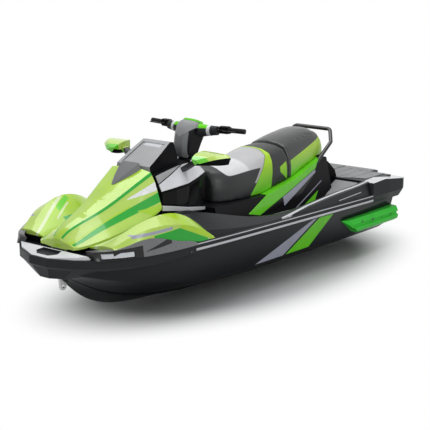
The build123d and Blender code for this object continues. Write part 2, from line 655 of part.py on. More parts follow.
# Jet pump, set out from its flange on the tunnel's front wall.
AXIS = Axis((0, 0, PUMP_Z), (1, 0, 0))
FLANGE_R = 125
OUTLET_R = 58
WALL = 10
IMPELLER_X = TUNNEL_FRONT - 70
STATOR_X = TUNNEL_FRONT - 210
CONE_X = TUNNEL_FRONT - 320
OUTLET_X = TUNNEL_FRONT - 472
NOZZLE_PIVOT_X = TUNNEL_FRONT - 490
BUCKET_PIVOT_X = TUNNEL_FRONT - 450
MOUTH_R = 96
ARM_GAP = 111


def turned(points):
    """Half section of a round piece, radii measured from the pump's axis."""
    return drawn(Plane.XZ, [(x, PUMP_Z + r) for x, r in points])


def radial(angle):
    turn = math.radians(angle)
    return Vector(0, math.cos(turn), math.sin(turn))


with BuildPart() as pump:
    casing = [(TUNNEL_FRONT, DUCT_R), (TUNNEL_FRONT, FLANGE_R), (TUNNEL_FRONT - 14, FLANGE_R),
              (TUNNEL_FRONT - 14, HOUSING_R), (CONE_X, HOUSING_R), (OUTLET_X, OUTLET_R),
              (OUTLET_X, OUTLET_R - WALL),
              (CONE_X, DUCT_R)]
    revolve(turned(casing), axis=AXIS)
    # stator hub with its bearing bore, and the straightening vanes
    bore_r = SHAFT_R + RUN_GAP
    hub = [(STATOR_X, bore_r), (STATOR_X, HUB_R), (CONE_X + 10, HUB_R), (CONE_X - 70, HUB_R / 2),
           (CONE_X - 70, 0),
           (STATOR_X - 75, 0), (STATOR_X - 75, bore_r)]
    revolve(turned(hub), axis=AXIS)
    for vane in range(VANES):
        out = radial(360 / VANES * vane)
        reach = (HUB_R + DUCT_R) / 2
        with BuildSketch(Plane(origin=Vector(STATOR_X - 50, 0, PUMP_Z) + out * reach, x_dir=(1, 0, 0),
                               z_dir=out)):
            Rectangle(80, 6)
        extrude(amount=(DUCT_R - HUB_R) / 2 + 4, both=True)
    # arms with pins for the steering nozzle, above and below
    for way in (1, -1):
        with BuildSketch(Plane.XY.offset(PUMP_Z + way * ARM_GAP)):
            with Locations(((CONE_X - 30 + NOZZLE_PIVOT_X - 16) / 2, 0)):
                Rectangle(CONE_X - 30 - NOZZLE_PIVOT_X + 16, 36)
        extrude(amount=way * WALL)
        with BuildSketch(Plane.XY.offset(PUMP_Z + way * OUTLET_R)):
            with Locations((CONE_X - 42, 0)):
                Rectangle(24, 36)
        extrude(amount=way * (ARM_GAP - OUTLET_R))
        with BuildSketch(Plane.XY.offset(PUMP_Z + way * (ARM_GAP + 1))):
            with Locations((NOZZLE_PIVOT_X, 0)):
                Circle(PIN_R)
        extrude(amount=-way * 15)
    # side arms with pins for the reverse bucket
    for way in (1, -1):
        with BuildSketch(Plane.XZ.offset(-way * (BUCKET_HALF + SHEET + 7))):
            with Locations(((CONE_X + 40 + BUCKET_PIVOT_X - 20) / 2, PUMP_Z)):
                Rectangle(CONE_X + 40 - BUCKET_PIVOT_X + 20, 40)
        extrude(amount=-way * WALL)
        with BuildSketch(Plane.XZ.offset(-way * (HOUSING_R - 6))):
            with Locations((CONE_X + 20, PUMP_Z)):
                Rectangle(40, 40)
        extrude(amount=-way * (BUCKET_HALF + SHEET + 7 - HOUSING_R + 6))
        with BuildSketch(Plane.XZ.offset(-way * (BUCKET_HALF + SHEET + 8))):
            with Locations((BUCKET_PIVOT_X, PUMP_Z)):
                Circle(PIN_R)
        extrude(amount=way * 16)
write(pump.part, "pump_housing")

# Impeller on the drive shaft, with twisted blades.
BLADE_STEPS = [(0, 0), (-60, 40), (-120, 80)]
BLADE_ROOT = 30
with BuildPart() as impeller:
    shaft_front = ENGINE_BLOCK[0] * LONG - 6
    shaft = [(shaft_front, 0), (shaft_front, SHAFT_R), (IMPELLER_X + 40, SHAFT_R),
             (IMPELLER_X + 10, HUB_R - 4),
             (STATOR_X + 10, HUB_R), (STATOR_X + 6, SHAFT_R), (STATOR_X - 70, SHAFT_R), (STATOR_X - 70, 0)]
    revolve(turned(shaft), axis=AXIS)
    for blade in range(BLADES):
        faces = []
        for step, twist in BLADE_STEPS:
            out = radial(360 / BLADES * blade + twist)
            middle = Vector(IMPELLER_X + step, 0, PUMP_Z) + out * (BLADE_ROOT + IMPELLER_R) / 2
            with BuildSketch(Plane(origin=middle, x_dir=out, z_dir=(1, 0, 0))) as blade_cut:
                Rectangle(IMPELLER_R - BLADE_ROOT, 7)
            faces.append(blade_cut.sketch.face())
        loft(faces)
write(impeller.part, "impeller")

with BuildPart() as nozzle:
    cone = [(NOZZLE_PIVOT_X + 28, MOUTH_R - SHEET), (NOZZLE_PIVOT_X + 28, MOUTH_R),
            (NOZZLE_PIVOT_X - 30, MOUTH_R),
            (NOZZLE_PIVOT_X - 120, OUTLET_R - 4), (NOZZLE_PIVOT_X - 120, OUTLET_R - 12),
            (NOZZLE_PIVOT_X - 30, MOUTH_R - SHEET)]
    revolve(turned(cone), axis=AXIS)
    for way in (1, -1):
        with BuildSketch(Plane.XY.offset(PUMP_Z + way * (MOUTH_R - 5))):
            with Locations((NOZZLE_PIVOT_X, 0)):
                Circle(20)
        extrude(amount=way * (ARM_GAP - MOUTH_R + 2))
        with BuildSketch(Plane.XY.offset(PUMP_Z + way * (MOUTH_R - 30))):
            with Locations((NOZZLE_PIVOT_X, 0)):
                Circle(PIN_R + RUN_GAP)
        extrude(amount=way * 60, mode=Mode.SUBTRACT)
write(nozzle.part, "steering_nozzle")

# Reverse bucket: a curved gate on two cheeks, raised at rest.
BUCKET_AT = (BUCKET_PIVOT_X, PUMP_Z)
with BuildPart() as bucket:
    with BuildSketch(Plane.XZ):
        with BuildLine():
            low, high = (math.radians(angle) for angle in BUCKET_SWEEP)
            rim = [(BUCKET_PIVOT_X - BUCKET_R * math.cos(angle), PUMP_Z + BUCKET_R * math.sin(angle))
                   for angle in (low, (low + high) / 2, high)]
            Line(BUCKET_AT, rim[0])
            ThreePointArc(*rim)
            Line(rim[2], BUCKET_AT)
        make_face()
        with Locations(BUCKET_AT):
            Circle(26)
    extrude(amount=BUCKET_HALF + SHEET, both=True)
    with BuildSketch(Plane.XZ):
        with Locations(BUCKET_AT):
            Circle(BUCKET_R - SHEET)
    extrude(amount=BUCKET_HALF, both=True, mode=Mode.SUBTRACT)
    with BuildSketch(Plane.XZ):
        with Locations(BUCKET_AT):
            Circle(PIN_R + RUN_GAP)
    extrude(amount=2 * BUCKET_HALF, both=True, mode=Mode.SUBTRACT)
write(bucket.part, "reverse_bucket")

# Ride plate under the tunnel and the grate over the intake.
PLATE = 12
plate_rise = 53
with BuildPart() as ride_plate:
    half = [(0, 1 - DRAFT), (TUNNEL_HALF, 1 - DRAFT + plate_rise),
            (TUNNEL_HALF, 1 - DRAFT + plate_rise + PLATE),
            (0, 1 - DRAFT + PLATE)]
    points = half + [(-y, z) for y, z in reversed(half) if y]
    extrude(drawn(Plane(origin=(TUNNEL_FRONT - 40, 0, 0), x_dir=(0, 1, 0), z_dir=(1, 0, 0)), points),
            amount=TRANSOM_X - TUNNEL_FRONT + 50)
write(ride_plate.part, "ride_plate")
with BuildPart() as grate:
    with BuildSketch(Plane.XY.offset(16 - DRAFT)):
        with Locations((TUNNEL_FRONT + 255, 0)):
            Rectangle(420, 2 * DUCT_HALF)
        with Locations((TUNNEL_FRONT + 240, 0)):
            with GridLocations(1, 40, 1, 4):
                Rectangle(330, 28, mode=Mode.SUBTRACT)
    extrude(amount=PLATE)
    add(hull.part, mode=Mode.SUBTRACT)
write(largest(grate.part), "intake_grate")

# Tow eyes under the bow and on the transom.
EYE_AT = (1560 * LONG, -10)
with BuildPart() as bow_eye:
    with BuildSketch(Plane.XZ):
        with Locations(EYE_AT):
            Circle(27)
        add(drawn(Plane.XY, [(EYE_AT[0] - 27, EYE_AT[1]), (EYE_AT[0] + 27, EYE_AT[1]), (EYE_AT[0] + 40, 100),
                             (EYE_AT[0] - 60, 100)]))
        with Locations(EYE_AT):
            Circle(EYE_R, mode=Mode.SUBTRACT)
    extrude(amount=8, both=True)
    add(hull_form.part, mode=Mode.SUBTRACT)
    add(bow_bumper.part, mode=Mode.SUBTRACT)
write(largest(bow_eye.part), "bow_tow_eye")
STERN_EYE_AT = (TRANSOM_X - 26, 40)
with BuildPart() as stern_eye_port:
    with BuildSketch(Plane.XZ.offset(-330 * WIDE)):
        with Locations(STERN_EYE_AT):
            Circle(24)
        with Locations((TRANSOM_X - 13, STERN_EYE_AT[1])):
            Rectangle(26, 48)
        with Locations(STERN_EYE_AT):
            Circle(EYE_R, mode=Mode.SUBTRACT)
    extrude(amount=-14)
write(pair(stern_eye_port.part), "stern_tow_eyes")

# Mirrors on stalks from the console shoulders. x, inner y, outer y, low z, high z
MIRROR_ROWS = [(690, 360, 430, 705, 745), (600, 345, 540, 690, 778), (536, 350, 576, 692, 780)]
MIRROR_STALK = [(170, 600), (170, 640), (352, 745), (352, 712)]
MIRROR_GLASS = [(392, 702), (550, 714), (566, 752), (540, 766), (362, 770), (362, 732)]
with BuildPart() as mirror_port:
    faces = []
    for x, inner_y, outer_y, low_z, high_z in MIRROR_ROWS:
        points = [(inner_y + 30, low_z), (outer_y - 20, low_z + 15), (outer_y, high_z - 25),
                  (outer_y - 30, high_z - 5),
                  (inner_y, high_z), (inner_y, low_z + 30)]
        faces.append(drawn(station(x), cross(points)).face())
    loft(faces)
    extrude(drawn(station(570), cross(MIRROR_STALK)), amount=50 * LONG)
    for piece in (console_body, console_panel_port.part, visor_body):
        add(piece, mode=Mode.SUBTRACT)
mirror_piece = largest(mirror_port.part)
write(pair(mirror_piece), "mirrors")
with BuildPart() as glass_port:
    extrude(drawn(station(536), cross(MIRROR_GLASS)), amount=-4)
write(pair(glass_port.part), "mirror_glasses")

# Steering: pad on the column. height, front reach, back reach, half width
PAD_ROWS = [(20, 58, 50, 48), (95, 100, 62, 76), (185, 112, 74, 84), (255, 98, 82, 84), (285, 74, 72, 68)]
PAD_TOP = PAD_ROWS[-1][0]


def pad_outline(front, back, half_y):
    half = [(front, 0.45 * half_y), (0.6 * front, half_y), (-0.7 * back, half_y), (-back, 0.5 * half_y)]
    return half + [(x, -y) for x, y in reversed(half)]


with BuildPart() as pad:
    loft([drawn(COLUMN.offset(height), pad_outline(front, back, half_y)).face()
          for height, front, back, half_y in PAD_ROWS])
    with BuildSketch(COLUMN.offset(-70)):
        Circle(COLUMN_R)
    extrude(amount=100)
with BuildPart() as top_cover:
    extrude(drawn(COLUMN.offset(PAD_TOP), pad_outline(68, 66, 64)), amount=18, taper=20)
BAR_PATH = [(262, 60, 858), (250, 200, 866), (222, 300, 876), (202, 428, 876)]
GRIP = Plane(origin=(204 * LONG, 420, 876), z_dir=(20, -128, 0))
with BuildPart() as bar_port:
    with BuildLine() as bar_line:
        FilletPolyline([(x * LONG, y, z) for x, y, z in BAR_PATH], radius=60)
    with BuildSketch(Plane(origin=bar_line.line @ 0, z_dir=bar_line.line % 0)):
        Circle(BAR_R)
    sweep()
    with BuildSketch(Plane(origin=bar_line.line @ 0, z_dir=bar_line.line % 0)):
        Circle(SLEEVE_R)
    extrude(amount=SLEEVE)
    add(pad.part, mode=Mode.SUBTRACT)
bar_piece = largest(bar_port.part)
with BuildPart() as grip_port:
    with BuildSketch(GRIP.offset(-13)):
        Circle(GRIP_R)
    extrude(amount=130)
    add(bar_piece, mode=Mode.SUBTRACT)
with BuildPart() as box_port:
    with BuildSketch(GRIP.offset(118)):
        RectangleRounded(46, 52, 8)
    extrude(amount=64)
    add(bar_piece, mode=Mode.SUBTRACT)
LEVER = [(242, 262), (262, 262), (284, 300), (270, 400), (262, 400), (272, 302), (242, 284)]
with BuildPart() as lever_port:
    extrude(drawn(Plane.XY.offset(872), [(x * LONG, y) for x, y in LEVER]), amount=8)
    add(box_port.part, mode=Mode.SUBTRACT)
    add(bar_piece, mode=Mode.SUBTRACT)
write(pad.part, "steering_pad")
write(top_cover.part, "steering_cover")
write(pair(bar_piece), "handlebar")
write(pair(grip_port.part), "grips")
write(pair(box_port.part), "switch_boxes")
write(pair(largest(lever_port.part)), "levers")
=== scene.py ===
# %% [markdown]
# A personal watercraft: a rider sits astride a long seat, steers with handlebars and is pushed by a water
# jet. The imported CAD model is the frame. It could serve only as a guide to model over, but here each
# dressed piece starts from its own CAD node, so that it keeps that node's place, size and joint.

# %% Load the frame
import json
import math
import bmesh
import bpy
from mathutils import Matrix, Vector
from mathutils.bvhtree import BVHTree


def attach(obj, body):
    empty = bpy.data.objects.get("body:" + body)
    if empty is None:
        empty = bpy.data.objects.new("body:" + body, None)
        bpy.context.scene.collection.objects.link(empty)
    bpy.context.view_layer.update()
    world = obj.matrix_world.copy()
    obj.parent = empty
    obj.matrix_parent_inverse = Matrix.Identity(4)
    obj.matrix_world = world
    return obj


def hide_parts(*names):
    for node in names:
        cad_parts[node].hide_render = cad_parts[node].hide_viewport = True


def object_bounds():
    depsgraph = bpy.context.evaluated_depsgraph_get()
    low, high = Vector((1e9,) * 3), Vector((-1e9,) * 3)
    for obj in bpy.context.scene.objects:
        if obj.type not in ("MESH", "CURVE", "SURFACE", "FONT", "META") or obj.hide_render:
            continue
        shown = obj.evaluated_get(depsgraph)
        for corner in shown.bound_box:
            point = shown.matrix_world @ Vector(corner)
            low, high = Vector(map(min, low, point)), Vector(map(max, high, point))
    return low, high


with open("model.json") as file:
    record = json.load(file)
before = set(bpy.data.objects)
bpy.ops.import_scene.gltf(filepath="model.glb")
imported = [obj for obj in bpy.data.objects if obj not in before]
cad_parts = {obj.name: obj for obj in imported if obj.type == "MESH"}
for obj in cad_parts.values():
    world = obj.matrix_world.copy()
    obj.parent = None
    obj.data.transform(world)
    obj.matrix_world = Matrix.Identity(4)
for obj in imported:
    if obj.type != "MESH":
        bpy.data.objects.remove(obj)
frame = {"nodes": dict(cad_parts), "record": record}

CAD_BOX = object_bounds()
BEHAVIOUR = frame["record"]["behaviour"]
BODY_OF = {node: body for body, nodes in BEHAVIOUR["bodies"].items() for node in nodes}
scene = bpy.context.scene
print("nodes", len(frame["nodes"]), "box", [[round(v, 3) for v in corner] for corner in CAD_BOX])

# %% [markdown]
# A painted stripe is a small sum: how far a point lies from a line, and whether that is more than
# nothing. In a material each step of it is a Math node. The nodes could be placed one by one, but
# ordinary expressions are easier to read. So a Value wraps one output socket, and each operator on it
# adds a Math node.

# %% Values in a shader
SOFT_EDGE = 0.0015


class Value:
    def __init__(self, owner, socket):
        self.owner = owner
        self.socket = socket

    def math(self, operation, first, second=0.0):
        return self.owner.node("ShaderNodeMath", {"operation": operation}, {0: first, 1: second})

    def __add__(self, other):
        return self.math("ADD", self, other)

    def __radd__(self, other):
        return self.math("ADD", other, self)

    def __sub__(self, other):
        return self.math("SUBTRACT", self, other)

    def __rsub__(self, other):
        return self.math("SUBTRACT", other, self)

    def __mul__(self, other):
        return self.math("MULTIPLY", self, other)

    def __rmul__(self, other):
        return self.math("MULTIPLY", other, self)

    def __truediv__(self, other):
        return self.math("DIVIDE", self, other)

    def __abs__(self):
        return self.math("ABSOLUTE", self)

    def sine(self):
        return self.math("SINE", self)

    def at_least(self, other):
        return self.math("MAXIMUM", self, other)

    def at_most(self, other):
        return self.math("MINIMUM", self, other)

    def over(self, edge, soft=SOFT_EDGE):
        """1 where this value is above edge, with a soft step."""
        span = {"From Min": edge - soft, "From Max": edge + soft}
        settings = {"interpolation_type": "SMOOTHSTEP"}
        return self.owner.node("ShaderNodeMapRange", settings, {"Value": self, **span})

    def under(self, edge, soft=SOFT_EDGE):
        """1 where this value is below edge, with a soft step."""
        return 1 - self.over(edge, soft)

    def between(self, low, high, soft=SOFT_EDGE):
        """1 where this value lies from low to high."""
        return self.over(low, soft) * self.under(high, soft)


print("soft edge of a painted line", SOFT_EDGE, "m")

# %% [markdown]
# Nodes makes any node of a tree from its type, its settings and its sockets, so the same few lines serve
# materials and the sky. A Finish is one material. It reads Object coordinates, which here are metres in
# the craft's own frame, so a stripe that is given by two points of the side view lands where a tape
# measure would put it.

# %% Nodes and finishes


class Nodes:
    def __init__(self, tree):
        self.tree = tree

    def node(self, kind, settings=None, sockets=None, output=0):
        made = self.tree.nodes.new(kind)
        for name, setting in (settings or {}).items():
            setattr(made, name, setting)
        for name, value in (sockets or {}).items():
            self.feed(made.inputs[name], value)
        return Value(self, made.outputs[output])

    def feed(self, socket, value):
        if isinstance(value, Value):
            self.tree.links.new(value.socket, socket)
        else:
            socket.default_value = value


class Finish(Nodes):
    def __init__(self, name, **constants):
        self.material = bpy.data.materials.new(name)
        self.material.use_nodes = True
        super().__init__(self.material.node_tree)
        self.shader = self.tree.nodes["Principled BSDF"]
        for label, number in constants.items():
            self.set(label.replace("_", " "), number)
        self.place = self.node("ShaderNodeTexCoord", output="Object")
        parts = self.tree.nodes.new("ShaderNodeSeparateXYZ")
        self.feed(parts.inputs[0], self.place)
        self.x, self.y, self.z = (Value(self, socket) for socket in parts.outputs)

    def set(self, label, value):
        self.feed(self.shader.inputs[label], value)

    def mix(self, mask, under, over):
        return self.node("ShaderNodeMix", {"data_type": "RGBA"}, {0: mask, 6: under, 7: over}, output=2)

    def noise(self, scale, detail=3.0):
        return self.node("ShaderNodeTexNoise", None, {"Vector": self.place, "Scale": scale, "Detail": detail})

    def above(self, line):
        """How far the side view's x, z lies above the line through two points."""
        (x0, z0), (x1, z1) = line
        slope = (z1 - z0) / (x1 - x0)
        return (self.z - self.x * slope - (z0 - slope * x0)) * math.cos(math.atan(slope))

    def ahead(self, line):
        """How far the side view's x, z lies ahead of the steep line through two points."""
        (x0, z0), (x1, z1) = line
        lean = (x1 - x0) / (z1 - z0)
        return (self.x - self.z * lean - (x0 - lean * z0)) * math.cos(math.atan(lean))

    def stripe(self, line, half, soft=SOFT_EDGE):
        """1 within half a stripe's width of a line of the side view."""
        return self.above(line).between(-half, half, soft)

    def wedge(self, top, foot):
        """1 below one line of the side view and above another."""
        return self.above(top).under(0) * self.above(foot).over(0)

    def slant(self, aft, fore):
        """1 ahead of one steep line of the side view and behind another."""
        return self.ahead(aft).over(0) * self.ahead(fore).under(0)

    def bump(self, height, strength, distance):
        sockets = {"Strength": strength, "Distance": distance, "Height": height}
        self.set("Normal", self.node("ShaderNodeBump", None, sockets))


print("finishes read Object coordinates, in metres")

# %% [markdown]
# Paint colours are given in linear light, as Blender's colour sockets take them, so they look darker here
# than on a colour chart. Those that more than one piece shares have a name.

# %% Colours


def rgb(red, green, blue):
    return (red, green, blue, 1.0)


LIME = rgb(0.12, 0.54, 0.015)
YELLOW_LIME = rgb(0.36, 0.58, 0.02)
PALE_LIME = rgb(0.42, 0.60, 0.10)
DEEP_GREEN = rgb(0.006, 0.34, 0.02)
SILVER = rgb(0.52, 0.53, 0.56)
LILAC = rgb(0.30, 0.31, 0.38)
MID_GREY = rgb(0.15, 0.155, 0.16)
SATIN_GREY = rgb(0.026, 0.028, 0.031)
HULL_DARK = rgb(0.007, 0.009, 0.011)
BLACK = rgb(0.004, 0.004, 0.005)
print("lime", LIME, "silver", SILVER)

# %% [markdown]
# Most pieces are gel coat or moulded plastic. Gel coat is colour under a clear gloss layer, so it has a
# coat. Moulded plastic and rubber are satin, with a fine grain or ribs. The castings are bare metal. One
# plain colour each would be quicker, but large mouldings are never even, so every finish gets a slow
# change in tone and in roughness.

# %% Base finishes
NOISE_MIDDLE, NOISE_SPREAD = 0.5, 0.28


def lively(finish, colour, amount=0.10, scale=7.0):
    """Colour with a slow, slight change in tone."""
    tone = finish.noise(scale).over(NOISE_MIDDLE, NOISE_SPREAD) * amount
    return finish.mix(tone, colour, rgb(0, 0, 0))


def painted(finish, paint):
    """A paint is one colour, or a function that lays out colours on the finish."""
    return lively(finish, paint(finish) if callable(paint) else paint)


def uneven(finish, rough, change, scale):
    """Roughness that wanders by the given change around its middle."""
    finish.set("Roughness", finish.noise(scale) * change + (rough - change / 2))


def gel_coat(name, paint, rough=0.24, coat=0.25, shine=0.25):
    made = Finish(name, Roughness=rough, Coat_Weight=coat, Coat_Roughness=0.06, Specular_IOR_Level=shine)
    made.set("Base Color", painted(made, paint))
    uneven(made, rough, 0.08, 60)
    return made


def grained(scale):
    return lambda made: made.bump(made.noise(scale, 2.0), strength=0.12, distance=0.0006)


def ribbed(waves, strength):
    return lambda made: made.bump((made.y * waves).sine(), strength, distance=0.002)


def plastic(name, paint, rough=0.42, shine=0.1, relief=grained(900)):
    made = Finish(name, Roughness=rough, Specular_IOR_Level=shine)
    made.set("Base Color", painted(made, paint))
    uneven(made, rough, 0.12, 40)
    relief(made)
    return made


def metal(name, colour, rough, grain=500):
    made = Finish(name, Metallic=1.0, Roughness=rough)
    made.set("Base Color", lively(made, colour, 0.18, 18.0))
    made.set("Roughness", made.noise(120) * 0.15 + (rough - 0.07))
    made.bump(made.noise(grain, 4.0), strength=0.10, distance=0.0008)
    return made


dark_trim = plastic("dark_trim", SATIN_GREY, rough=0.38, shine=0.06)
black_trim = plastic("black_trim", BLACK, rough=0.36, shine=0.04)
silver_trim = gel_coat("silver_trim", rgb(0.60, 0.61, 0.63), rough=0.26)
lime_plain = gel_coat("lime_gel_coat", LIME)
steel = metal("steel", rgb(0.55, 0.55, 0.56), 0.30)
shared = (dark_trim, black_trim, silver_trim, lime_plain, steel)
print("shared finishes", [made.material.name for made in shared])

# %% [markdown]
# A CAD node arrives as loose triangles with knife-sharp edges. It could be modelled afresh over the top,
# but a copy keeps the measured shape. The copy is merged, its flat areas are joined again, its edges get
# a small rounded bevel that catches the light, and the smooth shading is weighted so that flat panels
# stay flat.

# %% Dressing a node
MERGE = 2e-5
SLIVER = 1e-5
FLAT_WITHIN = math.radians(0.4)
PANEL = {"bevel": 0.003, "crease": 24}
INLAY = {"bevel": 0.002, "crease": 30}


def joined_up(node):
    """The node's triangles, merged and with flat areas joined."""
    build = bmesh.new()
    build.from_mesh(frame["nodes"][node].data)
    bmesh.ops.remove_doubles(build, verts=build.verts, dist=MERGE)
    bmesh.ops.dissolve_degenerate(build, dist=SLIVER, edges=build.edges)
    bmesh.ops.dissolve_limit(build, angle_limit=FLAT_WITHIN, verts=build.verts, edges=build.edges)
    build.normal_update()
    return build


def dress(node, finish, bevel=0.0025, crease=32, segments=2, second=None, where=None):
    """Dress a node in one finish, or in a second one on the faces where the given test holds."""
    build = joined_up(node)
    for face in build.faces:
        face.smooth = True
        face.material_index = int(bool(second and where(face.normal, face.calc_center_median())))
    mesh = bpy.data.meshes.new(node)
    mesh.materials.append(finish.material)
    if second:
        mesh.materials.append(second.material)
    build.to_mesh(mesh)
    build.free()
    mesh.set_sharp_from_angle(angle=math.radians(crease))
    piece = bpy.data.objects.new(node + ".skin", mesh)
    scene.collection.objects.link(piece)
    if bevel:
        rounded = piece.modifiers.new("rounded", "BEVEL")
        rounded.limit_method = "ANGLE"
        rounded.angle_limit = math.radians(crease)
        rounded.width = bevel
        rounded.segments = segments
        rounded.use_clamp_overlap = True
        rounded.harden_normals = False
    weighted = piece.modifiers.new("weighted", "WEIGHTED_NORMAL")
    weighted.keep_sharp = True
    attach(piece, BODY_OF[node])
    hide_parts(node)
    print("dressed", node, len(mesh.polygons), "faces")


print("merging points within", MERGE, "m")

# %% [markdown]
# The hull is dark gel coat with two slanting stripes aft of the middle, one silver and one lime. On a
# real craft such stripes are thin film, too thin to model, so they are painted: each stripe is what lies
# between two slanting lines. The coat fades out towards the keel, where the hull turns under and has
# little shine.

# %% Hull


def hull_paint(f):
    silver_aft = ((-0.445, 0.108), (-0.165, -0.080))
    silver_fore = ((-0.345, 0.108), (0.170, -0.080))
    lime_aft = ((-0.680, 0.100), (-0.490, -0.080))
    lime_fore = ((-0.470, 0.100), (-0.200, -0.080))
    chine_z = -0.078
    above_chine = f.z.over(chine_z)
    colour = f.mix(f.slant(lime_aft, lime_fore) * above_chine, HULL_DARK, LIME)
    return f.mix(f.slant(silver_aft, silver_fore) * above_chine, colour, LILAC)


hull_finish = gel_coat("hull_gel_coat", hull_paint, rough=0.30, shine=0.03)
hull_finish.set("Coat Weight", hull_finish.z.over(0.0, 0.11) * 0.25)
dress("hull", hull_finish, **PANEL)

# %% [markdown]
# The deck is the upper moulding. A silver band runs along the crest of each gunwale, and a thin silver
# dash lies below it towards the stern. Both lie flush, so they are paint and not strips of their own. The
# crest's distance from the middle is two straight runs, so the band follows the larger. The rub rail
# round the bond line is dark rubber with two bright ribs, which rise towards the bow as the rail does.

# %% Deck and rub rails


def deck_paint(f):
    dash_ends = (-1.12, -0.80)
    dash_line = tuple(zip(dash_ends, (0.244, 0.233)))
    crest_ends = (-1.26, -0.06)
    side = abs(f.y)
    fore_run = f.x * 0.018 + 0.5376
    aft_run = f.x * 0.1056 + 0.5743
    off_crest = side - aft_run.at_least(fore_run)
    crest = off_crest.between(-0.004, 0.015) * f.x.between(*crest_ends) * f.z.over(0.215)
    dash = f.stripe(dash_line, half=0.003, soft=0.0008) * f.x.between(*dash_ends)
    return f.mix(crest + dash * side.over(0.54), HULL_DARK, SILVER)


def rail_paint(f):
    foot_z = 0.172
    rise = math.tan(math.radians(1))
    height = f.z - f.x * rise - foot_z
    ribs = height.between(0.003, 0.019, 0.001) + height.between(0.042, 0.049, 0.001)
    return f.mix(ribs, SATIN_GREY, SILVER)


dress("deck", gel_coat("deck_gel_coat", deck_paint, rough=0.38, coat=0.0, shine=0.22), bevel=0.003, crease=28)
dress("rub_rails", plastic("rail_rubber", rail_paint, rough=0.40), **INLAY)

# %% [markdown]
# The bow has a dark bumper, a silver chin plate with a scoop in it, and lamp panels whose lamps sit in
# dark recesses. The scoop could be a piece of its own. It is one moulding on the real craft, so the plate
# stays whole and the scoop's faces take a second finish.

# %% Bow pieces


def lamp_panel_paint(f):
    recess_x = 1.345
    recess_top = ((recess_x, 0.304), (1.600, 0.288))
    notch_foot = ((1.31, 0.262), (1.10, 0.285))
    notch_top = ((1.31, 0.268), (1.16, 0.315))
    recess = f.x.over(recess_x) * f.above(recess_top).under(0)
    notch = f.wedge(notch_top, notch_foot) * f.x.between(1.12, 1.33)
    return f.mix(recess + notch, MID_GREY, BLACK)


def in_scoop(normal, middle):
    """The plate's own faces slope, while the scoop's walls are steep and its floor is level."""
    inside = abs(middle.y) < 0.1 and 1.636 < middle.x < 1.732
    return inside and not 0.5 < abs(normal.z) < 0.999


dress("bow_bumper", dark_trim, bevel=0.004, crease=20)
dress("chin_plate", silver_trim, bevel=0.003, crease=20, second=dark_trim, where=in_scoop)
dress("lamp_panels", gel_coat("lamp_surround", lamp_panel_paint, rough=0.28), **INLAY)
lens = Finish("lamp_lens", Roughness=0.06, Metallic=0.2, Coat_Weight=0.6)
lens.set("Base Color", lively(lens, rgb(0.56, 0.58, 0.61), 0.06, 12))
dress("lamps", lens, bevel=0.003, crease=30)

# %% [markdown]
# The hood is the most coloured piece: a yellow-green crown between two dark green lines, pale flanks, and
# a deep green sweep with a silver flash above it. The flanks' pale lime is partly the paint's own tone and
# partly a painted reflection. The shapes could be drawn as an image, but lines in metres stay sharp at any
# distance. Inside, the lid is bare dark moulding, so its inner faces take a second finish.

# %% Hood


def hood_paint(f):
    sweep_top = ((0.93, 0.525), (1.60, 0.292))
    sweep_foot = ((0.96, 0.458), (1.60, 0.284))
    flash_top = ((1.115, 0.512), (0.88, 0.612))
    flash_foot = ((1.115, 0.508), (0.88, 0.552))
    patch_top = ((1.08, 0.436), (0.95, 0.452))
    patch_foot = ((1.08, 0.434), (0.98, 0.392))
    crown_edge = 0.365
    crown_taper = 0.21
    ridge_width = 0.015
    nose_x = 1.592
    behind_nose = f.x.under(nose_x)
    across = abs(f.y) + f.x * crown_taper
    ridge_line = across.between(crown_edge, crown_edge + ridge_width, 0.002) * behind_nose
    sweep = f.wedge(sweep_top, sweep_foot) * behind_nose
    sweep_rim = f.above(sweep_top).between(0.001, 0.008) * f.x.over(1.11)
    flash = f.wedge(flash_top, flash_foot) * f.x.under(1.113)
    patch = f.wedge(patch_top, patch_foot) * f.x.under(1.08)
    # partly painted reflection: the flanks outside the crown are pale lime
    colour = f.mix(across.under(crown_edge, 0.002), PALE_LIME, YELLOW_LIME)
    colour = f.mix(ridge_line, colour, DEEP_GREEN)
    colour = f.mix(sweep, colour, DEEP_GREEN)
    colour = f.mix(sweep_rim, colour, YELLOW_LIME)
    colour = f.mix(patch, colour, YELLOW_LIME)
    return f.mix(flash, colour, rgb(0.72, 0.72, 0.76))


def hood_inside(normal, middle):
    """Faces that look down, or in towards the middle."""
    return normal.z < -0.05 or (normal.z < 0.3 and normal.y * middle.y < 0)


hood_finish = gel_coat("hood_gel_coat", hood_paint, coat=0.6)
dress("hood", hood_finish, **PANEL, second=black_trim, where=hood_inside)
dress("hood_scoop", plastic("grey_trim", MID_GREY, rough=0.34), **PANEL)
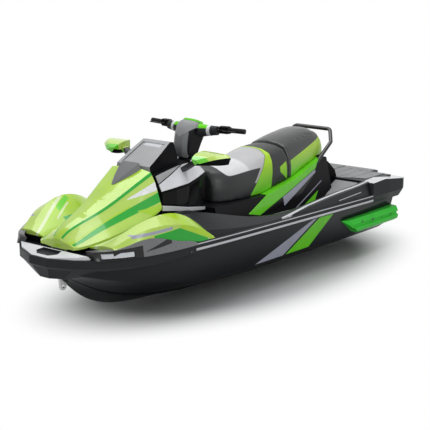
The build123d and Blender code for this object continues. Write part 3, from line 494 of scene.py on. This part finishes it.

# %% [markdown]
# The fairings are the shoulders beside the hood, in the same paint. Their low edge is deep green, a lilac
# stripe crosses the flank, and pale streaks lie along the inner edge as painted highlights on the crest,
# with a lime leaf between them. That edge slants in plan, so these are set out by their distance inside a
# slanting line of the plan view. The pale outer face and the yellow-lime inner strip are partly the paint's
# own tones and partly painted light and shade.
# The pin hinge, which lies under the hood's lip, is plain steel.

# %% Fairings and hinge


def fairing_paint(f):
    low_tip_x = 1.253
    corner = (1.036, 0.366)
    low_fore = ((low_tip_x, 0.350), corner)
    low_aft = (corner, (0.736, 0.236))
    rear_edge = (corner, (0.988, 0.428))
    stripe_line = ((1.109, 0.376), (1.389, 0.360))
    low = f.above(low_fore).under(0) * f.above(low_aft).under(0) * f.x.under(low_tip_x)
    stripe = f.stripe(stripe_line, half=0.010) * f.x.between(1.10, 1.40) * abs(f.y).over(0.43)
    tuck = f.z.under(0.275) * f.x.over(1.36)
    inside = 1.0072 - f.x * 0.478 - abs(f.y)
    # painted highlights: pale streaks along the inner crest, with a lime leaf between them
    painted_highlight_streaks = inside.between(-0.004, 0.020) + inside.between(0.070, 0.082) * f.x.under(1.30)
    leaf = inside.between(0.026, 0.064) * f.x.between(1.08, 1.24)
    # partly paint tones, partly painted light and shade: the pale outer face and the yellow-lime inner strip
    colour = f.mix(f.ahead(rear_edge).under(0), PALE_LIME, YELLOW_LIME)
    colour = f.mix(inside.over(0), colour, YELLOW_LIME)
    colour = f.mix(painted_highlight_streaks * f.x.over(1.12), colour, rgb(0.60, 0.68, 0.42))
    colour = f.mix(leaf, colour, LIME)
    colour = f.mix(low, colour, DEEP_GREEN)
    colour = f.mix(stripe, colour, LILAC)
    return f.mix(tuck, colour, BLACK)


dress("fairings", gel_coat("fairing_gel_coat", fairing_paint), **PANEL)
dress("hood_hinge", steel, bevel=0.001)

# %% [markdown]
# The console carries white shoulder panels with a seam across them, gloss black knee panels and a silver
# blade under each. They could be areas of paint on one shell, but they are separate mouldings on the real
# craft and separate nodes here, so each has its own bevel and the joints between them show as fine lines.

# %% Console panels


def shoulder_paint(f):
    over_seam = f.above(((0.856, 0.597), (0.627, 0.665)))
    colour = f.mix(over_seam.over(0), rgb(0.62, 0.62, 0.66), rgb(0.30, 0.305, 0.315))
    return f.mix(over_seam.between(-0.003, 0.003), colour, BLACK)


gloss_black = gel_coat("gloss_black", BLACK, rough=0.12, coat=0.0, shine=0.06)
dress("console", black_trim, **PANEL)
dress("console_panels", gel_coat("white_panel", shoulder_paint), **PANEL)
dress("knee_panels", gloss_black, **PANEL)
dress("side_blades", silver_trim, **PANEL)

# %% [markdown]
# The visor shades the instrument, which is a dark glass with a dial ring and two plain bars. A lit screen
# could be emission, but it is off in daylight, so a gloss coat over a dark colour is enough. The ring is
# where the distance from the dial's middle lies between two radii.

# %% Visor and display
DIAL = (0.592, 0.0, 0.755)


def visor_paint(f):
    slot = f.z.between(0.793, 0.812) * abs(f.y).under(0.075)
    return f.mix(slot, rgb(0.33, 0.335, 0.345), SILVER)


def visor_cheek(normal, middle):
    return abs(normal.y) > 0.5


visor_grey = plastic("visor_grey", visor_paint, rough=0.34)
dress("visor", visor_grey, bevel=0.004, crease=20, second=black_trim, where=visor_cheek)
screen = Finish("screen", Roughness=0.08, Coat_Weight=1.0)
to_dial = {0: screen.place, 1: DIAL}
from_dial = screen.node("ShaderNodeVectorMath", {"operation": "DISTANCE"}, to_dial, output="Value")
side_bars = abs(screen.y).between(0.058, 0.066, 0.0006) * from_dial.under(0.070)
marks = from_dial.between(0.028, 0.031, 0.0006) + side_bars
screen.set("Base Color", screen.mix(marks, rgb(0.012, 0.016, 0.02), rgb(0.45, 0.50, 0.52)))
dress("display", screen, bevel=0.002)

# %% [markdown]
# Each mirror is a painted shell on a dark stalk with a glass let into its back. The shell is lime, with a
# painted reflection as pale lime on its upper rear. A mirror's glass is a metal with hardly any roughness,
# which is what silvered glass is. The stalk is part of the shell's node, so the paint changes to grey
# inboard of the shell.

# %% Mirrors


def mirror_paint(f):
    stalk = abs(f.y).under(0.335)
    # painted reflection: pale lime on the shell's upper rear, lime on its front and low side
    colour = f.mix(f.x.over(0.655), PALE_LIME, LIME)
    colour = f.mix(f.z.under(0.722), colour, LIME)
    return f.mix(stalk, colour, SATIN_GREY)


def mirror_underside(normal, middle):
    return normal.z < -0.1


mirror_lime = gel_coat("mirror_lime", mirror_paint, coat=0.6)
dress("mirrors", mirror_lime, bevel=0.004, crease=30, second=black_trim, where=mirror_underside)
mirror_glass = Finish("mirror_glass", Metallic=1.0, Roughness=0.03)
mirror_glass.set("Base Color", lively(mirror_glass, rgb(0.85, 0.87, 0.88), 0.05))
dress("mirror_glasses", mirror_glass, bevel=0.001)

# %% [markdown]
# The pedestal carries the seats. It is black moulding with a lime rim under the seat, a thin stripe and a
# lime block low on each flank. The gloss flank panels let into it carry on the stripe, so both paints use
# lines of nearly one slant.

# %% Pedestal


def pedestal_paint(f):
    rim_bend = (-0.640, 0.383)
    rim_fore = ((-0.262, 0.322), rim_bend)
    rim_aft = (rim_bend, (-0.985, 0.484))
    stripe_line = ((-0.682, 0.201), (-0.988, 0.321))
    block_corner = (-0.927, 0.257)
    block_top = (block_corner, (-0.70, 0.170))
    block_aft = (block_corner, (-0.888, 0.215))
    rim = f.above(rim_fore).over(-0.002) * f.above(rim_aft).over(-0.002) * f.x.between(-1.02, -0.27)
    stripe = f.stripe(stripe_line, half=0.004) * f.x.between(-0.99, -0.50)
    block = f.above(block_top).between(-0.060, 0) * f.ahead(block_aft).over(0) * f.x.under(-0.60)
    colour = f.mix(stripe, BLACK, LILAC)
    return f.mix(rim + block, colour, LIME)


def flank_paint(f):
    stripe_foot = ((-0.494, 0.228), (-0.916, 0.396))
    return f.mix(f.above(stripe_foot).over(0) * f.x.under(-0.46), BLACK, LILAC)


flank_black = gel_coat("flank_black", flank_paint, rough=0.2, coat=0.0, shine=0.3)
dress("pedestal", plastic("pedestal_black", pedestal_paint, rough=0.36), bevel=0.004, crease=24)
dress("side_panels", lime_plain, **INLAY)
dress("pedestal_panels", flank_black, **INLAY)

# %% [markdown]
# Behind the seat come the hump, the grab handle, foam mats with fine ribs, caps on the stern's corners
# and the sponsons low on the hull. The mats' ribs are about 15 mm apart and very shallow, so bump shows
# them well and real ribs would only cost faces.

# %% Stern


def cap_top(normal, middle):
    return normal.z > 0.6


mat_foam = plastic("mat_foam", rgb(0.30, 0.305, 0.31), rough=0.7, relief=ribbed(420, 0.5))
sponson_green = gel_coat("sponson_green", rgb(0.045, 0.54, 0.045), rough=0.3, coat=0.0, shine=0.08)
dress("tail_hump", black_trim, bevel=0.008, crease=24, segments=3)
dress("grab_handle", gel_coat("handle_black", BLACK, rough=0.15, coat=0.6), bevel=0, crease=50)
dress("traction_mats", mat_foam, bevel=0.002)
dress("stern_caps", dark_trim, bevel=0.005, crease=20, segments=3, second=silver_trim, where=cap_top)
dress("sponsons", sponson_green, **PANEL)

# %% [markdown]
# The seats are foam under sewn vinyl, in panels of several colours. The seams are lines of the side view.
# Each panel could be a mesh of its own, but one cover with painted panels has no gaps at its seams. The
# paint changes colour at a seam, and the cushion is held down along it, so both read the same lines. On
# the saddle a pale band just ahead of the green band is a painted highlight on the bolster's edge, and
# the pale top is darker on the bolster as painted shade.

# %% Seat covers
SADDLE_EDGE = ((0.074, 0.508), (-0.259, 0.519))
SADDLE_NOSE = 0.112
BAND_FRONT = ((-0.106, 0.30), (-0.445, 0.65))
BAND_REAR = ((-0.392, 0.32), (-0.436, 0.56))
REAR_PANEL = ((-0.664, 0.525), (-1.130, 0.665))
SEAM_HALF = 0.0015
SEAT_DARK = rgb(0.013, 0.014, 0.015)


def saddle_paint(f):
    accent_top = ((-0.518, 0.495), (-0.602, 0.527))
    accent_foot = ((-0.513, 0.458), (-0.599, 0.393))
    ahead = f.ahead(BAND_FRONT)
    band = f.slant(BAND_REAR, BAND_FRONT)
    upturn_x = 0.02
    upturn = ((f.x - upturn_x) / (SADDLE_NOSE - upturn_x)).at_least(0.0)
    upturn = upturn * upturn * upturn * upturn
    top = (f.above(SADDLE_EDGE) - upturn * 0.045).over(0) * ahead.over(0) * f.x.under(SADDLE_NOSE)
    # painted highlight: a pale band on the bolster's edge, just ahead of the green band
    painted_edge_highlight = ahead.between(0, 0.020) * f.z.over(0.42)
    accent = f.wedge(accent_top, accent_foot) * f.x.between(-0.602, -0.515)
    seams = ahead.between(-SEAM_HALF, SEAM_HALF) + f.ahead(BAND_REAR).between(-SEAM_HALF, SEAM_HALF)
    green = f.mix(f.z.over(0.46, 0.16), LIME, YELLOW_LIME)
    # painted shade: the pale top is darker aft of x -0.17, on the bolster
    pale = f.mix(f.x.over(-0.17, 0.02), rgb(0.42, 0.42, 0.43), rgb(0.62, 0.62, 0.63))
    colour = f.mix(top + painted_edge_highlight, SEAT_DARK, pale)
    colour = f.mix(band + accent, colour, green)
    return f.mix(seams, colour, BLACK)


def rear_seat_paint(f):
    edge = f.above(REAR_PANEL)
    green = f.mix(f.z.over(0.50, 0.12), LIME, YELLOW_LIME)
    colour = f.mix(edge.under(0) * f.x.under(-0.66), SEAT_DARK, green)
    return f.mix(edge.between(-SEAM_HALF, SEAM_HALF), colour, BLACK)


vinyl_grain = grained(700)
saddle_vinyl = plastic("saddle_vinyl", saddle_paint, shine=0.4, relief=vinyl_grain)
rear_vinyl = plastic("rear_vinyl", rear_seat_paint, shine=0.3, relief=vinyl_grain)
rear_vinyl.set("Coat Weight", 0.7)
rear_vinyl.set("Coat Roughness", 0.28)
print("seat covers", saddle_vinyl.material.name, rear_vinyl.material.name)

# %% [markdown]
# Sewn vinyl is held at its seams and bulges between them. That could be sculpted by hand, but a cloth
# under air pressure finds the bulge by itself. The points near a seam are pinned, and so are the faces
# that rest on the pedestal or on the other seat.

# %% Sewn lines and swelling
PIN_WIDTH = 0.007
BAND_CLEAR = 0.004
REAR_TOP_HALF = 0.08
AIR_PRESSURE = 4
SWELL_FRAMES = 20
SWELL_CAP = 0.011
LEAST_MOVE = 1e-6


def off_line(point, line):
    """Signed distance of a point from a line of the side view."""
    (x0, z0), (x1, z1) = line
    along = Vector((x1 - x0, z1 - z0)).normalized()
    return (point.x - x0) * along.y - (point.z - z0) * along.x


def saddle_sewn(point):
    if off_line(point, BAND_FRONT) > BAND_CLEAR and abs(off_line(point, SADDLE_EDGE)) < PIN_WIDTH:
        return True
    return min(abs(off_line(point, line)) for line in (BAND_FRONT, BAND_REAR)) < PIN_WIDTH


def rear_sewn(point):
    return abs(off_line(point, REAR_PANEL)) < PIN_WIDTH and abs(point.y) > REAR_TOP_HALF


def worked_in(piece):
    """The piece's mesh with its modifiers worked in."""
    mesh = bpy.data.meshes.new_from_object(piece.evaluated_get(bpy.context.evaluated_depsgraph_get()))
    piece.modifiers.clear()
    piece.data = mesh
    return mesh


def swell(piece):
    """Cloth under air pressure, pinned at the group of sewn points."""
    start = [point.co.copy() for point in piece.data.vertices]
    cloth = piece.modifiers.new("foam", "CLOTH")
    cloth.settings.use_pressure = True
    cloth.settings.uniform_pressure_force = AIR_PRESSURE
    cloth.settings.vertex_group_mass = "sewn"
    cloth.settings.effector_weights.gravity = 0
    for step in range(1, SWELL_FRAMES + 1):
        scene.frame_set(step)
    mesh = worked_in(piece)
    scene.frame_set(1)
    for point, origin in zip(mesh.vertices, start):
        move = point.co - origin
        point.co = origin + move * min(1, SWELL_CAP / max(move.length, LEAST_MOVE))


print("pins within", PIN_WIDTH, "m of a seam, swelling at most", SWELL_CAP, "m")

# %% [markdown]
# Cloth needs an even mesh, and a CAD solid has long thin triangles. So each cushion starts as its solid,
# remeshed on a grid of small cubes and smoothed a few rounds, which also draws it in a little and leaves
# room to swell.

# %% Cushions
VOXEL = 0.010
SMOOTH_ROUNDS = 4
RESTING = -0.5
BUTTING = 0.7


def cushion(node, finish, sewn, joint_way):
    """A padded seat. The other seat lies ahead of it or behind it, as joint_way says."""
    piece = bpy.data.objects.new(node + ".cushion", frame["nodes"][node].data.copy())
    scene.collection.objects.link(piece)
    even = piece.modifiers.new("even", "REMESH")
    even.mode = "VOXEL"
    even.voxel_size = VOXEL
    mesh = worked_in(piece)
    build = bmesh.new()
    build.from_mesh(mesh)
    for _ in range(SMOOTH_ROUNDS):
        bmesh.ops.smooth_vert(build, verts=build.verts, factor=0.5,
                              use_axis_x=True, use_axis_y=True, use_axis_z=True)
    build.normal_update()
    pins = []
    for point in build.verts:
        held = point.normal.z < RESTING or point.normal.x * joint_way > BUTTING
        if held or sewn(point.co):
            pins.append(point.index)
    build.to_mesh(mesh)
    build.free()
    piece.vertex_groups.new(name="sewn").add(pins, 1.0, "REPLACE")
    swell(piece)
    mesh = piece.data
    mesh.materials.clear()
    mesh.materials.append(finish.material)
    mesh.shade_smooth()
    round_off = piece.modifiers.new("round_off", "SUBSURF")
    round_off.levels = round_off.render_levels = 1
    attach(piece, BODY_OF[node])
    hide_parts(node)
    print("cushion", node, len(mesh.vertices), "points", len(pins), "pinned")


cushion("seat_front", saddle_vinyl, saddle_sewn, joint_way=-1)
cushion("seat_rear", rear_vinyl, rear_sewn, joint_way=1)

# %% [markdown]
# The jet pump under the stern is cast aluminium, and the impeller and tow eyes are stainless steel. A
# casting's skin is slightly pebbled, so its bump is coarser than the steel's. The engine and the storage
# bin are hidden until the hood is open or a seat is off, so they are dressed plainly.

# %% Jet pump and inner pieces
cast = metal("cast_aluminium", rgb(0.50, 0.51, 0.52), 0.42, grain=260)
for node in ("pump_housing", "steering_nozzle", "reverse_bucket", "ride_plate", "intake_grate"):
    dress(node, cast, bevel=0.0015, crease=34)
for node in ("impeller", "bow_tow_eye", "stern_tow_eyes"):
    dress(node, steel, bevel=0.0012, crease=34)
dress("storage_bin", plastic("bin_liner", BLACK, rough=0.6, relief=grained(500)), bevel=0.003)
dress("engine", metal("engine_casting", rgb(0.22, 0.22, 0.23), 0.5), bevel=0.006)

# %% [markdown]
# The steering gear is a padded grey pod with a lime cover, a black bar, ribbed rubber grips, switch boxes
# and levers. The pod's plate and face could be cut out as pieces, but they are one padded moulding, so
# they are tones of one paint. The bar is round and needs no bevel. The grips' ribs are under a centimetre
# apart, so they are bump.

# %% Steering gear


def pod_paint(f):
    plate = (f.z - abs(f.y) * 0.68).over(0.822) * f.x.over(0.27)
    face = f.mix(f.x.over(0.37) * abs(f.y).under(0.062), BLACK, rgb(0.17, 0.175, 0.18))
    return f.mix(plate, face, rgb(0.26, 0.265, 0.27))


bar_black = metal("bar_black", rgb(0.03, 0.03, 0.032), 0.35)
grip_rubber = plastic("grip_rubber", rgb(0.012, 0.012, 0.013), rough=0.6, relief=ribbed(900, 0.6))
dress("steering_pad", plastic("pod_grey", pod_paint, rough=0.4), bevel=0.004, crease=34)
dress("steering_cover", lime_plain, bevel=0.004, crease=30)
dress("handlebar", bar_black, bevel=0, crease=50)
dress("grips", grip_rubber, bevel=0.003, crease=40)
dress("switch_boxes", black_trim, bevel=0.003, crease=40)
dress("levers", bar_black, bevel=0.0015, crease=40)

# %% [markdown]
# A rubber gaiter closes the gap round the steering column. It could be stacked rings, but a bellows is
# one turned shape, so a folded profile is spun round the steering joint's own axis. The gaiter stays with
# the console.

# %% Gaiter
STEER = next(joint for joint in BEHAVIOUR["joints"] if joint["name"] == "steering_turn")
COLUMN, COLUMN_AXIS = Vector(STEER["pos_m"]), Vector(STEER["axis"]).normalized()
GAITER_FOOT = [(0.060, -0.022), (0.062, -0.012)]
FOLD = [(0.052, -0.008), (0.058, -0.003)]
FOLDS, FOLD_TAPER, FOLD_RISE = 4, 0.004, 0.009
SPIN_STEPS = 48
ADDED_CREASE = math.radians(35)


def add_piece(name, build, finish, node):
    """A new piece that moves with the given node."""
    mesh = bpy.data.meshes.new(name)
    bmesh.ops.recalc_face_normals(build, faces=build.faces)
    for face in build.faces:
        face.smooth = True
    build.to_mesh(mesh)
    build.free()
    mesh.set_sharp_from_angle(angle=ADDED_CREASE)
    mesh.materials.append(finish.material)
    piece = bpy.data.objects.new(name, mesh)
    scene.collection.objects.link(piece)
    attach(piece, BODY_OF[node])
    print("added", name, len(mesh.polygons), "faces")


profile = list(GAITER_FOOT)
for fold in range(FOLDS):
    profile += [(radius - fold * FOLD_TAPER, height + fold * FOLD_RISE) for radius, height in FOLD]
gaiter = bmesh.new()
outward = COLUMN_AXIS.cross(Vector((0, 1, 0))).normalized()
points = [gaiter.verts.new(COLUMN + outward * radius + COLUMN_AXIS * height) for radius, height in profile]
edges = [gaiter.edges.new(pair) for pair in zip(points, points[1:])]
bmesh.ops.spin(gaiter, geom=points + edges, cent=COLUMN, axis=COLUMN_AXIS, angle=2 * math.pi,
               steps=SPIN_STEPS, use_merge=True)
add_piece("column_gaiter", gaiter, grip_rubber, "console")

# %% [markdown]
# The bar is dressed from the pod outwards with a padded arm, a bright band, a lever perch and, at the
# grip's inner end, a rubber flange. All are round and tapered, so each is one cone between two points of
# the bar, made for both sides at once. They turn with the handlebar.

# %% Bar fittings
ARM_ROOT, ARM_TIP = (0.2628, 0.050, 0.856), (0.2543, 0.150, 0.8631)
BAND_TIP = (0.2521, 0.175, 0.8646)
PERCH_TIP = (0.2455, 0.224, 0.868)
FLANGE_ROOT, FLANGE_TIP = (0.2202, 0.310, 0.876), (0.2190, 0.318, 0.876)
FITTING_SIDES = 28
UP = Vector((0, 0, 1))


def arm_paint(f):
    lime_edge = ((0.20, 0.896), (0.30, 0.880))
    return f.mix(f.above(lime_edge).over(0), SATIN_GREY, LIME)


arm_finish = plastic("bar_arm", arm_paint, rough=0.38, shine=0.06)
# name, finish, start, end and the radius at each, on the port side
BAR_FITTINGS = [
    ("bar_arms", arm_finish, ARM_ROOT, ARM_TIP, 0.052, 0.038),
    ("bar_bands", silver_trim, ARM_TIP, BAND_TIP, 0.0385, 0.0375),
    ("lever_perches", dark_trim, BAND_TIP, PERCH_TIP, 0.035, 0.032),
    ("grip_flanges", grip_rubber, FLANGE_ROOT, FLANGE_TIP, 0.026, 0.023),
]
for name, finish, start, end, wide, narrow in BAR_FITTINGS:
    build = bmesh.new()
    for way in (1, -1):
        root, tip = (Vector((x, way * y, z)) for x, y, z in (start, end))
        along = UP.rotation_difference(tip - root).to_matrix().to_4x4()
        along.translation = (root + tip) / 2
        bmesh.ops.create_cone(build, cap_ends=True, segments=FITTING_SIDES, radius1=wide, radius2=narrow,
                              depth=(tip - root).length, matrix=along)
    add_piece(name, build, finish, "handlebar")

# %% [markdown]
# Screws hold the sponsons, bumper, caps and fairings, and two plugs drain the hull at the transom. Their
# places are known in the side view or from the stern, but not how far out the surface lies. So a ray is
# cast at the piece that each one holds, and the head is turned to the face that it hits. An inset makes
# the socket in the head.

# %% Screws and plugs
FLANK, STERN = 0.9, -2.2
HEAD_SIDES, HEAD_HEIGHT, HEAD_TAPER = 20, 0.006, 0.8
SOCKET_RIM, SOCKET_DEPTH = 0.35, 0.002
dark_steel = metal("dark_steel", rgb(0.09, 0.09, 0.095), 0.34)
SPONSON_PLACES = [(-1.10, 0.018), (-1.25, 0.012), (-1.40, 0.006), (-1.54, 0.0)]
# name, node, finish, radius, and places: x, z seen from the flank, or y, z seen from the stern
SCREWS = [
    ("sponson_screws", "sponsons", dark_steel, 0.009, FLANK, SPONSON_PLACES),
    ("bumper_screws", "bow_bumper", dark_steel, 0.008, FLANK, [(0.955, 0.195)]),
    ("cap_screws", "stern_caps", dark_steel, 0.008, FLANK, [(-1.32, 0.17), (-1.62, 0.165)]),
    ("fairing_screws", "fairings", steel, 0.006, FLANK, [(0.775, 0.248)]),
    ("drain_plugs", "hull", steel, 0.019, STERN, [(0.30, -0.075)]),
]


def add_head(build, spot, normal, radius):
    """A tapered screw head on a spot of a surface, with a socket in its crown."""
    turn = UP.rotation_difference(normal).to_matrix().to_4x4()
    turn.translation = spot
    head = bmesh.ops.create_cone(build, cap_ends=True, segments=HEAD_SIDES, radius1=radius,
                                 radius2=HEAD_TAPER * radius, depth=HEAD_HEIGHT, matrix=turn)["verts"]
    ends = {face for vert in head for face in vert.link_faces if len(face.verts) == HEAD_SIDES}
    crown = max(ends, key=lambda face: face.calc_center_median().dot(normal))
    bmesh.ops.inset_individual(build, faces=[crown], thickness=SOCKET_RIM * radius, depth=-SOCKET_DEPTH)


for name, node, finish, radius, seen_from, places in SCREWS:
    solid = bmesh.new()
    solid.from_mesh(frame["nodes"][node].data)
    faces = BVHTree.FromBMesh(solid)
    solid.free()
    build = bmesh.new()
    for first, z in places:
        for way in (1, -1):
            start, aim = Vector((first, way * FLANK, z)), Vector((0, -way, 0))
            if seen_from == STERN:
                start, aim = Vector((STERN, way * first, z)), Vector((1, 0, 0))
            spot, normal, _, _ = faces.ray_cast(start, aim)
            add_head(build, spot, normal, radius)
    add_piece(name, build, finish, node)

# %% [markdown]
# The camera stands low off the port bow with a long lens, as a studio photographer would stand for a
# craft of this length. Its lens follows from the picture: the focal length in pixels over the picture's
# width, times the width of the sensor.

# %% Camera
EYE = Vector((6.715, 5.509, 2.218))
AZIMUTH, ELEVATION = math.radians(39.379), math.radians(13.197)
SENSOR, FOCAL_PIXELS, PICTURE_PIXELS = 36.0, 1200.34, 430
flat = math.cos(ELEVATION)
backwards = Vector((flat * math.cos(AZIMUTH), flat * math.sin(AZIMUTH), math.sin(ELEVATION)))
camera = bpy.data.objects.new("camera", bpy.data.cameras.new("camera"))
camera.data.sensor_width = SENSOR
camera.data.lens = SENSOR * FOCAL_PIXELS / PICTURE_PIXELS
camera.data.clip_end = 200
camera.location = EYE
camera.rotation_euler = backwards.to_track_quat("Z", "Y").to_euler()
scene.collection.objects.link(camera)
scene.camera = camera
print("lens", round(camera.data.lens, 1), "mm")

# %% [markdown]
# The studio floor is white paper that runs on into a white wall. A wall could be modelled, but it would
# change the light on the craft. So the floor blends into a plain white glow away from the craft, for the
# rays that show it, and near the craft it is a real surface that takes the soft shadow.

# %% Floor
FLOOR_HALF, FLOOR_GAP = 40, 0.001
# an ellipse round the craft, as a scale and a shift of the floor's own place
ELLIPSE_SCALE, ELLIPSE_SHIFT = (0.5, 0.95, 0.0), (0.125, 0.0, 0.0)
GLOW_EDGE, GLOW_SOFT = 0.84, 0.22
floor_z = CAD_BOX[0][2] - FLOOR_GAP
floor_build = bmesh.new()
bmesh.ops.create_grid(floor_build, x_segments=1, y_segments=1, size=FLOOR_HALF)
bmesh.ops.translate(floor_build, verts=floor_build.verts, vec=(0, 0, floor_z))
floor_mesh = bpy.data.meshes.new("floor")
floor_build.to_mesh(floor_mesh)
floor_build.free()
floor = bpy.data.objects.new("floor", floor_mesh)
scene.collection.objects.link(floor)
paper = Finish("floor_white", Roughness=0.9)
paper.set("Base Color", rgb(0.70, 0.71, 0.72))
floor_mesh.materials.append(paper.material)


def seen(nodes):
    """1 for rays that show the background itself: from the camera, off gloss, or through glass."""
    labels = ("Is Camera Ray", "Is Glossy Ray", "Is Transmission Ray")
    from_camera, off_gloss, through = (nodes.node("ShaderNodeLightPath", output=label) for label in labels)
    return (from_camera + off_gloss + through).at_most(1.0)


oval = {0: paper.place, 1: ELLIPSE_SCALE, 2: ELLIPSE_SHIFT}
away = paper.node("ShaderNodeVectorMath", {"operation": "MULTIPLY_ADD"}, oval)
away = paper.node("ShaderNodeVectorMath", {"operation": "LENGTH"}, {0: away}, output="Value")
glow = paper.node("ShaderNodeEmission", None, {"Color": rgb(1, 1, 1), "Strength": 1.0})
surface = Value(paper, paper.shader.outputs[0])
glowing = away.over(GLOW_EDGE, GLOW_SOFT) * seen(paper)
blend = paper.node("ShaderNodeMixShader", None, {0: glowing, 1: surface, 2: glow})
paper.feed(paper.tree.nodes["Material Output"].inputs["Surface"], blend)
print("floor at", round(floor_z, 3), "m")

# %% [markdown]
# The sky is the white of the studio. Full white everywhere would wash the shadow out, so the rays that
# only light the craft get less of it than the rays that show it.

# %% Sky
SKY_LIGHT = 0.42
world = bpy.data.worlds.new("studio")
world.use_nodes = True
scene.world = world
sky = Nodes(world.node_tree)
background = world.node_tree.nodes["Background"]
sky.feed(background.inputs["Color"], rgb(1, 1, 1))
sky.feed(background.inputs["Strength"], seen(sky) * (1 - SKY_LIGHT) + SKY_LIGHT)
print("sky gives", SKY_LIGHT, "of white as light")

# %% [markdown]
# Three soft boxes light the craft: one overhead for the shadow, and two fills for the bow and the port
# flank. The fills are flagged off the floor by light linking, as a studio does with black cards, so that
# the shadow keeps its depth.

# %% Lamps
off_floor = bpy.data.collections.new("off_floor")
off_floor.objects.link(floor)
off_floor.collection_objects[0].light_linking.link_state = "EXCLUDE"
# name, place, what it points at, width, depth, power
LAMPS = [
    ("overhead", (-0.1, -0.6, 4.3), (-0.1, -0.6, 0), 2.6, 5.0, 150),
    ("bow_fill", (7.5, 3.0, 3.2), (0, 0, 0.2), 3.0, 2.0, 90),
    ("port_fill", (2.6, 6.6, 3.6), (0, 0, 0.3), 4.0, 2.4, 165),
]
for name, spot, aim, width, depth, power in LAMPS:
    lamp = bpy.data.lights.new(name, "AREA")
    lamp.shape = "RECTANGLE"
    lamp.size = width
    lamp.size_y = depth
    lamp.energy = power
    holder = bpy.data.objects.new(name, lamp)
    holder.location = spot
    holder.rotation_euler = (Vector(spot) - Vector(aim)).to_track_quat("Z", "Y").to_euler()
    scene.collection.objects.link(holder)
    if name.endswith("fill"):
        holder.light_linking.receiver_collection = off_floor
    print("lamp", name, power, "W")
scene.view_settings.view_transform = "Standard"
